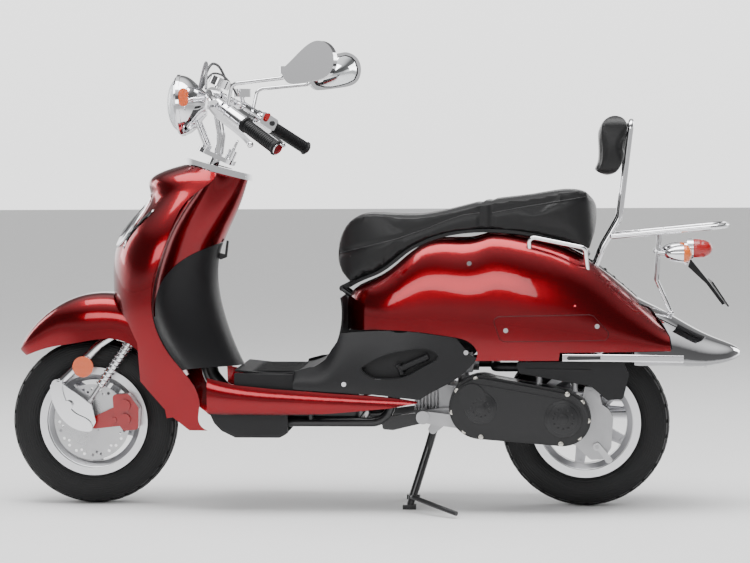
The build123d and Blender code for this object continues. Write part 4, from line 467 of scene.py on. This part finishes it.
for end, axle, body in (("front", front_axle, "front_wheel"), ("rear", rear_axle, "rear_wheel")):
    outline = [(tread_radius(y), y) for y in tread_rows]
    outline += [(radius, y) for radius, y in tyre_side]
    outline += [(radius, -y) for radius, y in reversed(tyre_side[:-1])]
    tyre = ring_profile(outline, axle, 132)
    grooves = []
    for face in tyre.faces:
        middle = face.calc_center_median()
        across = middle.y
        spoke = middle - axle
        out = math.hypot(spoke.x, spoke.z)
        if out < 0.200 or abs(across) > 0.034:
            continue
        turn = round(math.degrees(math.atan2(spoke.z, spoke.x)) / 360 * 132)
        lateral = (turn + (2 if across > 0 else 0)) % 4 == 0
        around = 0.0085 < abs(across) < 0.0125 or 0.0215 < abs(across) < 0.0255
        if around or (lateral and abs(across) > 0.0255) or ((turn + 1) % 4 == 0 and abs(across) < 0.0085):
            grooves.append(face)
    cut = bmesh.ops.extrude_face_region(tyre, geom=grooves)
    floor_verts = [part for part in cut["geom"] if isinstance(part, bmesh.types.BMVert)]
    bmesh.ops.delete(tyre, geom=grooves, context="FACES")
    bmesh.ops.scale(tyre, vec=(0.981, 1, 0.981), verts=floor_verts, space=Matrix.Translation(-axle))
    bmesh.ops.recalc_face_normals(tyre, faces=tyre.faces)
    rubber = finish(end + "_tyre_rubber", (0.007, 0.007, 0.0075), 0.55, grain=(900.0, 0.5), shade=0.4, glance=0.28)
    ringed(rubber, axle, 0.0009, 0.0005)
    piece = placed(end + "_treaded_tyre", tyre, rubber, body, 35.0)
    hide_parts(end + "_tyre")
    silver = finish(end + "_rim_silver", (0.34, 0.34, 0.355), 0.30, metal=0.9, coat=0.3, grain=(700.0, 0.12), shade=0.2)
    radius_here = ringed(silver, axle, 0.0006, 0.00006)
    banded(silver, radius_here, 0.1205, 0.150, (0.80, 0.80, 0.82))
    paint(end + "_rim", silver)

disc_steel = finish("disc_steel", (0.52, 0.52, 0.53), 0.28, metal=1.0, grain=(600.0, 0.1), shade=0.2)
ringed(disc_steel, front_axle, 0.0004, 0.00008)
paint("brake_disc", disc_steel)

# ---------------------------------------------------------------- soft seat and back pad
# The dual seat and the back pad are moulded foam under a grained black vinyl cover,
# with sewn panels, a welted edge and a strap across between the two riders.


def vinyl(name):
    """Black vinyl with a leather grain of small closed cells."""
    cover = finish(name, (0.005, 0.005, 0.0055), 0.36, grain=(420.0, 0.25), shade=0.5, glance=0.3)
    tree = cover.node_tree
    new, link = tree.nodes.new, tree.links.new
    place, cells, press = new("ShaderNodeTexCoord"), new("ShaderNodeTexVoronoi"), new("ShaderNodeBump")
    cells.feature = "DISTANCE_TO_EDGE"
    cells.inputs["Scale"].default_value = 560.0
    link(place.outputs["Object"], cells.inputs["Vector"])
    press.inputs["Strength"].default_value = 0.5
    press.inputs["Distance"].default_value = 0.0005
    link(cells.outputs["Distance"], press.inputs["Height"])
    link(tree.nodes["skin"].outputs["Normal"], press.inputs["Normal"])
    link(press.outputs["Normal"], tree.nodes["Principled BSDF"].inputs["Normal"])
    tree.nodes["Principled BSDF"].inputs["Sheen Weight"].default_value = 0.08
    return cover


seat_vinyl = vinyl("seat_vinyl")


def copied(node, name):
    """A merged copy of a CAD node's mesh as its own object."""
    data = nodes[node].data.copy()
    data.name = name
    made = bmesh.new()
    made.from_mesh(data)
    bmesh.ops.remove_doubles(made, verts=made.verts, dist=1e-5)
    made.to_mesh(data)
    made.free()
    piece = bpy.data.objects.new(name, data)
    scene.collection.objects.link(piece)
    return piece


def applied(piece):
    """Takes the piece's modifiers into its mesh."""
    graph = bpy.context.evaluated_depsgraph_get()
    baked = bpy.data.meshes.new_from_object(piece.evaluated_get(graph))
    piece.modifiers.clear()
    piece.data = baked


def stuffed(node, name, voxel, shrink, pressure, cap, keep_below=None):
    """A foam piece from its CAD solid: remeshed, drawn in a little, then swollen by air pressure under its cover."""
    piece = copied(node, name)
    remesh = piece.modifiers.new("remesh", "REMESH")
    remesh.mode, remesh.voxel_size = "VOXEL", voxel
    applied(piece)
    made = bmesh.new()
    made.from_mesh(piece.data)
    for _ in range(3):
        bmesh.ops.smooth_vert(made, verts=made.verts, factor=0.5, use_axis_x=True, use_axis_y=True, use_axis_z=True)
    made.normal_update()
    for vert in made.verts:
        vert.co -= vert.normal * shrink
    made.to_mesh(piece.data)
    made.free()
    start = [vert.co.copy() for vert in piece.data.vertices]
    cloth = piece.modifiers.new("cloth", "CLOTH")
    cloth.settings.use_pressure = True
    cloth.settings.uniform_pressure_force = pressure
    cloth.settings.effector_weights.gravity = 0
    cloth.settings.tension_stiffness = 25
    cloth.settings.compression_stiffness = 25
    cloth.settings.bending_stiffness = 4
    for frame_number in range(1, 21):
        scene.frame_set(frame_number)
    applied(piece)
    scene.frame_set(1)
    for vert, old in zip(piece.data.vertices, start):
        moved = vert.co - old
        if moved.length > cap:
            vert.co = old + moved * (cap / moved.length)
    return piece


def settled(piece, body, material, levels=1):
    """Rides the soft piece on its body with its cover's material and one subdivision."""
    piece.data.materials.clear()
    piece.data.materials.append(material)
    piece.data.shade_smooth()
    smooth = piece.modifiers.new("subdivision", "SUBSURF")
    smooth.levels = smooth.render_levels = levels
    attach(piece, body)


saddle_seat = stuffed("seat_cushion", "saddle_seat", 0.006, 0.0045, 4.0, 0.006)
back_pad = stuffed("backrest_pad", "back_pad", 0.005, 0.004, 4.0, 0.005)

# the sewn seams draw the cover down into narrow channels
seat_seams = (
    [(-0.092, 0.649), (-0.02, 0.668), (0.07, 0.690), (0.149, 0.717), (0.20, 0.738), (0.241, 0.751), (0.282, 0.756)],
    [(0.313, 0.756), (0.40, 0.772), (0.496, 0.787), (0.568, 0.800)],
)
strap_x = 0.2975
seam_half_w = 0.006
for vert in saddle_seat.data.vertices:
    spot = vert.co
    depth = 0.0
    for seam in seat_seams:
        for (x1, z1), (x2, z2) in zip(seam, seam[1:]):
            if x1 <= spot.x <= x2 and abs(spot.y) > 0.05:
                level = z1 + (z2 - z1) * (spot.x - x1) / (x2 - x1)
                depth = max(depth, math.exp(-((spot.z - level) / seam_half_w) ** 2))
    for edge_x in (strap_x - 0.014, strap_x + 0.014):
        if spot.z > 0.705:
            depth = max(depth, math.exp(-((spot.x - edge_x) / seam_half_w) ** 2))
    vert.co = spot - vert.normal * 0.0035 * depth
settled(saddle_seat, "seat", seat_vinyl)
settled(back_pad, "chassis", seat_vinyl)
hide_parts("seat_cushion")
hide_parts("backrest_pad")


def surface_of(piece):
    """The finished surface of a piece, for laying trim on it."""
    graph = bpy.context.evaluated_depsgraph_get()
    shape = bmesh.new()
    shape.from_object(piece, graph)
    tree = BVHTree.FromBMesh(shape)
    shape.free()
    return tree


def landed(surface, x, z, side, lift):
    """The point of a surface straight in from the side at (x, z), lifted off along its normal."""
    hit, normal, _, _ = surface.ray_cast(Vector((x, side * 0.6, z)), Vector((0, -side, 0)))
    if hit is None:
        hit, normal, _, _ = surface.find_nearest(Vector((x, side * 0.15, z)))
    if normal.y * side < 0:
        normal = -normal
    return hit + normal * lift


def bead(name, spots, radius, material, body):
    """A round welt or wire through a row of points."""
    curve = bpy.data.curves.new(name, "CURVE")
    curve.dimensions = "3D"
    line = curve.splines.new("POLY")
    line.points.add(len(spots) - 1)
    for point, spot in zip(line.points, spots):
        point.co = (*spot, 1.0)
    curve.bevel_depth = radius
    curve.bevel_resolution = 3
    curve.use_fill_caps = True
    wire = bpy.data.objects.new(name, curve)
    scene.collection.objects.link(wire)
    data = bpy.data.meshes.new_from_object(wire.evaluated_get(bpy.context.evaluated_depsgraph_get()))
    bpy.data.objects.remove(wire)
    piece = bpy.data.objects.new(name, data)
    scene.collection.objects.link(piece)
    data.materials.clear()
    data.materials.append(material)
    data.shade_smooth()
    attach(piece, body)
    return piece


def spaced(route, step):
    """Points along a row of (x, z) places, closely and evenly spaced."""
    spots = []
    for (x1, z1), (x2, z2) in zip(route, route[1:]):
        count = max(2, int(math.hypot(x2 - x1, z2 - z1) / step))
        spots += [(x1 + (x2 - x1) * i / count, z1 + (z2 - z1) * i / count) for i in range(count)]
    return spots + [route[-1]]


seat_surface = surface_of(saddle_seat)
welt_vinyl = finish("welt_vinyl", (0.014, 0.014, 0.015), 0.42, grain=(700.0, 0.4))
for hand, side in (("left", -1), ("right", 1)):
    for number, seam in enumerate(seat_seams):
        spots = [landed(seat_surface, x, z, side, 0.0004) for x, z in spaced(seam, 0.008)]
        bead(f"seat_welt_{hand}_{number}", spots, 0.0014, welt_vinyl, "seat")

# ---------------------------------------------------------------- trim on the red panels
# A chrome-edged black teardrop is let into each side of the apron, and a bright
# moulding with a dark channel runs back along each side of the tail.


def laid_plate(name, outline, node, side, lift, thick, material, body):
    """A thin shaped plate laid on a panel: an outline of (x, z) places, filled, cut fine and pressed on."""
    surface = surface_of(nodes[node])
    made = bmesh.new()
    rim = [made.verts.new((x, 0.0, z)) for x, z in outline]
    made.faces.new(rim)
    bmesh.ops.triangulate(made, faces=made.faces)
    bmesh.ops.subdivide_edges(made, edges=made.edges, cuts=5, use_grid_fill=True)
    bmesh.ops.triangulate(made, faces=made.faces)
    for vert in made.verts:
        vert.co = landed(surface, vert.co.x, vert.co.z, side, lift)
    bmesh.ops.recalc_face_normals(made, faces=made.faces)
    made.faces.ensure_lookup_table()
    if made.faces[0].normal.y * side < 0:
        bmesh.ops.reverse_faces(made, faces=made.faces)
    piece = placed(name, made, material, body, 50.0)
    wall = piece.modifiers.new("thickness", "SOLIDIFY")
    wall.thickness, wall.offset = thick, 1.0
    return piece


def teardrop(tip, tail, half_w, count=12):
    """A closed teardrop between a pointed and a round end, as (x, z) places."""
    run = Vector((tail[0] - tip[0], tail[1] - tip[1]))
    across = Vector((-run.y, run.x)).normalized()
    spots = []
    for way in (1, -1):
        steps = range(count) if way > 0 else range(count, 0, -1)
        for i in steps:
            t = i / count
            width = half_w * math.sqrt(max(0.0, t * (1 - t ** 3))) * 1.3
            point = Vector(tip) + run * t + across * width * way
            spots.append((point.x, point.y))
    return spots


for hand, side in (("left", -1), ("right", 1)):
    chrome_drop = teardrop((-0.562, 0.806), (-0.655, 0.668), 0.020)
    black_drop = teardrop((-0.575, 0.798), (-0.646, 0.694), 0.013)
    laid_plate(f"apron_drop_chrome_{hand}", chrome_drop, "front_apron", side, 0.0004, 0.0025, bright_chrome, "chassis")
    laid_plate(f"apron_drop_black_{hand}", black_drop, "front_apron", side, 0.0026, 0.0012, small_black, "chassis")

# ---------------------------------------------------------------- lamps and lenses
# The head lamp has a clear fluted glass in a chrome bowl. Markers and indicators
# are amber, the stop lamp is red, all in moulded acrylic with fine ribs.


def lens(name, colour, rib_scale, see_through):
    """Moulded acrylic: tinted, glossy, part clear, with fine ribs."""
    glass = finish(name, colour, 0.10, coat=0.6, grain=(500.0, 0.05), shade=0.15, change=0.05)
    tree = glass.node_tree
    new, link = tree.nodes.new, tree.links.new
    shader = tree.nodes["Principled BSDF"]
    shader.inputs["Transmission Weight"].default_value = see_through
    shader.inputs["IOR"].default_value = 1.49
    place, ribs, press = new("ShaderNodeTexCoord"), new("ShaderNodeTexWave"), new("ShaderNodeBump")
    ribs.bands_direction = "Z"
    ribs.inputs["Scale"].default_value = rib_scale
    link(place.outputs["Object"], ribs.inputs["Vector"])
    press.inputs["Strength"].default_value = 0.35
    press.inputs["Distance"].default_value = 0.001
    link(ribs.outputs["Fac"], press.inputs["Height"])
    link(press.outputs["Normal"], shader.inputs["Normal"])
    return glass


clear_lens = lens("clear_lens", (0.86, 0.89, 0.92), 60.0, 0.75)
amber_lens = lens("amber_lens", (0.70, 0.095, 0.004), 90.0, 0.15)
red_lens = lens("red_lens", (0.45, 0.006, 0.008), 80.0, 0.15)


def by_place(material, axis, low, high, colour):
    """Tints a material another colour between two levels along an axis."""
    tree = material.node_tree
    place, parts = tree.nodes.new("ShaderNodeTexCoord"), tree.nodes.new("ShaderNodeSeparateXYZ")
    tree.links.new(place.outputs["Object"], parts.inputs[0])
    return banded(material, parts.outputs[axis], low, high, colour)


paint("tail_lenses", red_lens)
for low, high in ((-0.2, -0.062), (0.062, 0.2)):
    by_place(red_lens, "Y", low, high, (0.85, 0.16, 0.01))
paint("front_lenses", amber_lens)
by_place(amber_lens, "X", -0.60, -0.4875, (0.80, 0.83, 0.86))

# ---------------------------------------------------------------- grips
# Black rubber grips with fine rings stand between a bright collar inboard
# and a turned bright cap on the bar's end.

grip_end = Vector((-0.201, 0.345, 0.918))
grip_out = Vector((0.71, 0.508, -0.492)).normalized()
grip_len = 0.125
grip_rubber = finish("grip_rubber", (0.006, 0.006, 0.007), 0.5, grain=(900.0, 0.6), glance=0.28)


def turned(name, profile, side, material, body, steps=40):
    """Turns an outline of (distance in from the grip's end, radius) about the bar's line on one side."""
    made = bmesh.new()
    out = Vector((grip_out.x, side * grip_out.y, grip_out.z))
    end = Vector((grip_end.x, side * grip_end.y, grip_end.z))
    square = out.cross(Vector((0, 0, 1))).normalized()
    corners = [made.verts.new(end - out * inward + square * radius) for inward, radius in profile]
    edges = [made.edges.new((a, b)) for a, b in zip(corners, corners[1:] + corners[:1])]
    bmesh.ops.spin(made, geom=corners + edges, cent=end, axis=out, angle=2 * math.pi, steps=steps, use_merge=True)
    bmesh.ops.remove_doubles(made, verts=made.verts, dist=1e-6)
    bmesh.ops.recalc_face_normals(made, faces=made.faces)
    return placed(name, made, material, body, 40.0)


ring_count = 17
for hand, side, body, node in (
    ("left", -1, "steering", "left_grip"), ("right", 1, "throttle", "throttle_grip"),
):
    profile = [(0.004, 0.0115), (0.004, 0.0185), (0.0075, 0.0192), (0.0095, 0.0172)]
    for ring in range(ring_count):
        start_at = 0.012 + ring * 0.0062
        profile += [(start_at, 0.0166), (start_at + 0.0046, 0.0166), (start_at + 0.0048, 0.0150), (start_at + 0.0060, 0.0150)]
    profile += [(0.1185, 0.0166), (0.1195, 0.0205), (0.1235, 0.0205), (0.1235, 0.0115)]
    grip = turned(f"{hand}_ringed_grip", profile, side, grip_rubber, body)
    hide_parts(node)
    cap = [(-0.0005, 0.0001), (-0.0005, 0.0135), (0.0010, 0.0150), (0.0038, 0.0150), (0.0038, 0.0001)]
    turned(f"{hand}_bar_cap", cap, side, bright_chrome, "steering")

# the moulding's dark channel, a dark red bead of painted shade along the gap round the lid let into each flank, and the
# tail's rubber gasket
channel_outline = [(0.503, 0.4015), (0.583, 0.4005), (0.583, 0.3925), (0.503, 0.3915), (0.499, 0.3965)]
lid_outline = [
    (0.319, 0.492), (0.328, 0.499), (0.340, 0.500), (0.555, 0.503), (0.566, 0.500), (0.603, 0.459),
    (0.603, 0.448), (0.594, 0.439), (0.345, 0.437), (0.333, 0.443), (0.319, 0.484), (0.319, 0.492),
]
gasket_line = [(0.668, 0.548), (0.684, 0.523), (0.712, 0.511), (0.738, 0.478), (0.757, 0.443), (0.762, 0.412)]
gasket_rubber = finish("gasket_rubber", (0.006, 0.006, 0.007), 0.45, grain=(900.0, 0.3), glance=0.3)
# painted shade: this darkened copy of the body red colours the bead that stands for the shadow in the lid's gap
painted_gap_shade = finish("painted_gap_shade", (0.030, 0.0006, 0.002), 0.4, grain=(900.0, 0.1), glance=0.3)
cover_surface, tail_surface = surface_of(nodes["side_covers"]), surface_of(nodes["tail_fairing"])
for hand, side in (("left", -1), ("right", 1)):
    laid_plate(f"moulding_channel_{hand}", channel_outline, "tail_fairing", side, 0.0002, 0.0008, small_black, "chassis")
    # a dark red bead along the lid's outline paints the shade in the gap round the lid
    rim = [landed(cover_surface, x, z, side, 0.0) for x, z in spaced(lid_outline, 0.006)]
    bead(f"side_lid_gap_shade_{hand}", rim, 0.0009, painted_gap_shade, "chassis")
    seal = [landed(tail_surface, x, z, side, 0.0004) for x, z in spaced(gasket_line, 0.006)]
    bead(f"tail_gasket_{hand}", seal, 0.0016, gasket_rubber, "chassis")

# ---------------------------------------------------------------- drive case fittings
# The belt cover is a ribbed black casting held by flanged bolts round its edge,
# with a round boss over the clutch and a smaller one over the crank.

crank = Vector((0.285, 0.0, 0.270))
clutch = Vector((0.490, 0.0, 0.243))
case_surface = surface_of(nodes["cvt_cover"])
bolt_zinc = finish("bolt_zinc", (0.55, 0.53, 0.48), 0.28, metal=1.0, grain=(300.0, 0.1))


def drum(made, middle, radius, low_y, high_y, segments, bevel):
    """A short cylinder across the machine with a bevelled face."""
    turn = Matrix.Translation(Vector((middle.x, (low_y + high_y) / 2, middle.z))) @ Matrix.Rotation(math.radians(90), 4, "X")
    round_one = bmesh.ops.create_cone(
        made, cap_ends=True, segments=segments, radius1=radius, radius2=radius,
        depth=abs(high_y - low_y), matrix=turn,
    )
    edges = [e for e in {e for v in round_one["verts"] for e in v.link_edges} if len({f.normal.copy().freeze() for f in e.link_faces}) > 1 and abs(e.verts[0].co.y - e.verts[1].co.y) < 1e-6]
    bmesh.ops.bevel(made, geom=edges, offset=bevel, segments=2, profile=0.5, affect="EDGES", material=-1)


bolts = bmesh.new()
for middle, radius, turns in (
    (crank, 0.073, (100, 145, 190, 235, 270)), (clutch, 0.063, (-95, -50, -5, 40, 80)),
):
    for turn in turns:
        angle = math.radians(turn)
        spot = middle + Vector((math.cos(angle), 0, math.sin(angle))) * radius
        face_y = landed(case_surface, spot.x, spot.z, -1, 0.0).y
        drum(bolts, spot, 0.0062, face_y + 0.002, face_y - 0.0015, 24, 0.0005)
        drum(bolts, spot, 0.0042, face_y - 0.001, face_y - 0.0055, 6, 0.0004)
placed("case_bolts", bolts, bolt_zinc, "engine", 30.0)

bosses = bmesh.new()
for middle, radius in ((crank, 0.040), (clutch, 0.046)):
    face_y = landed(case_surface, middle.x, middle.z, -1, 0.0).y
    for share, proud in ((1.0, 0.002), (0.82, 0.004), (0.30, 0.006)):
        drum(bosses, middle, radius * share, face_y + 0.002, face_y - proud, 64, 0.0008)
    for turn in range(0, 360, 30):
        spot = middle + Vector((math.cos(math.radians(turn)), 0, math.sin(math.radians(turn)))) * radius * 0.56
        drum(bosses, spot, 0.0032, face_y, face_y - 0.0055, 16, 0.0005)
placed("case_bosses", bosses, case_black, "engine", 30.0)

# ---------------------------------------------------------------- springs
# Each damper carries a chromed coil spring round its tube, wound from round wire.


def coil(name, foot, head, radius, wire, turns, material, body):
    """A helical spring between two points on a damper's line."""
    made = bmesh.new()
    line = head - foot
    square = line.cross(Vector((0, 1, 0))).normalized()
    ring = bmesh.ops.create_circle(made, segments=10, radius=wire)
    place = Matrix((square, line.normalized(), square.cross(line.normalized()))).transposed().to_4x4()
    bmesh.ops.transform(made, verts=ring["verts"], matrix=Matrix.Translation(foot + square * radius) @ place)
    steps = int(turns * 28)
    bmesh.ops.spin(
        made, geom=made.verts[:] + made.edges[:], cent=foot, axis=line.normalized(),
        dvec=line / steps, angle=2 * math.pi * turns, steps=steps,
    )
    bmesh.ops.holes_fill(made, edges=[e for e in made.edges if e.is_boundary], sides=12)
    bmesh.ops.recalc_face_normals(made, faces=made.faces)
    return placed(name, made, material, body, 60.0)


rear_top, rear_foot = Vector((0.590, -0.078, 0.520)), Vector((0.560, -0.078, 0.300))
rear_line = (rear_top - rear_foot).normalized()
rear_long = (rear_top - rear_foot).length
coil("rear_spring", rear_foot + rear_line * 0.092, rear_foot + rear_line * (rear_long - 0.031), 0.0192, 0.0020, 11, bright_chrome, "rear_shock")
front_top, front_foot = Vector((-0.606, 0.0, 0.446)), Vector((-0.735, 0.0, 0.262))
front_line = (front_top - front_foot).normalized()
front_long = (front_top - front_foot).length
for hand, side in (("left", -1), ("right", 1)):
    beside = Vector((0.0, 0.066 * side, 0.0))
    coil(f"front_spring_{hand}", front_foot + beside + front_line * 0.064, front_foot + beside + front_line * (front_long - 0.018), 0.0127, 0.0016, 12, bright_chrome, "front_shock")

# ---------------------------------------------------------------- mirror glasses
# Each teardrop shell holds a flat silvered glass, set in a thin black gasket,
# on the side that faces the rider.

mirror_rim = [
    (0.0, 0.006), (0.024, 0.029), (0.052, 0.046), (0.082, 0.062), (0.108, 0.068), (0.128, 0.062),
    (0.140, 0.050), (0.147, 0.030), (0.147, 0.012), (0.137, -0.007), (0.115, -0.018), (0.088, -0.025),
    (0.060, -0.030), (0.036, -0.030), (0.012, -0.024), (0.001, -0.010),
]
silvered = finish("silvered_glass", (0.86, 0.88, 0.90), 0.02, metal=1.0, grain=(40.0, 0.004), shade=0.03, change=0.01)
for hand, side in (("left", -1), ("right", 1)):
    away = Vector((0.89, side * 0.456, 0.0)).normalized()
    faces = away.cross(Vector((0.0, 0.0, 1.0)))
    # the rider's side of the head is the one that looks rearward
    rear_way = 1 if faces.x > 0 else -1
    middle = Vector((0.072, 0.018))
    for label, share, lift, stuff, slot_name in (
        ("gasket", 0.90, 0.0004, gasket_rubber, "rubber"), ("glass", 0.84, 0.0012, silvered, "mirror"),
    ):
        made = bmesh.new()
        rim = []
        for along, up in mirror_rim:
            flat = middle + (Vector((along, up)) - middle) * share
            spot = Vector((-0.190, side * 0.295, 1.110)) + away * flat.x + Vector((0, 0, flat.y))
            rim.append(made.verts.new(spot + faces * rear_way * (0.008 + lift)))
        made.faces.new(rim)
        bmesh.ops.recalc_face_normals(made, faces=made.faces)
        made.faces.ensure_lookup_table()
        if made.faces[0].normal.dot(faces * rear_way) < 0:
            bmesh.ops.reverse_faces(made, faces=made.faces)
        pane = placed(f"{hand}_mirror_{label}", made, stuff, f"{hand}_mirror_head")
        wall = pane.modifiers.new("thickness", "SOLIDIFY")
        wall.thickness, wall.offset = 0.0008, -1.0
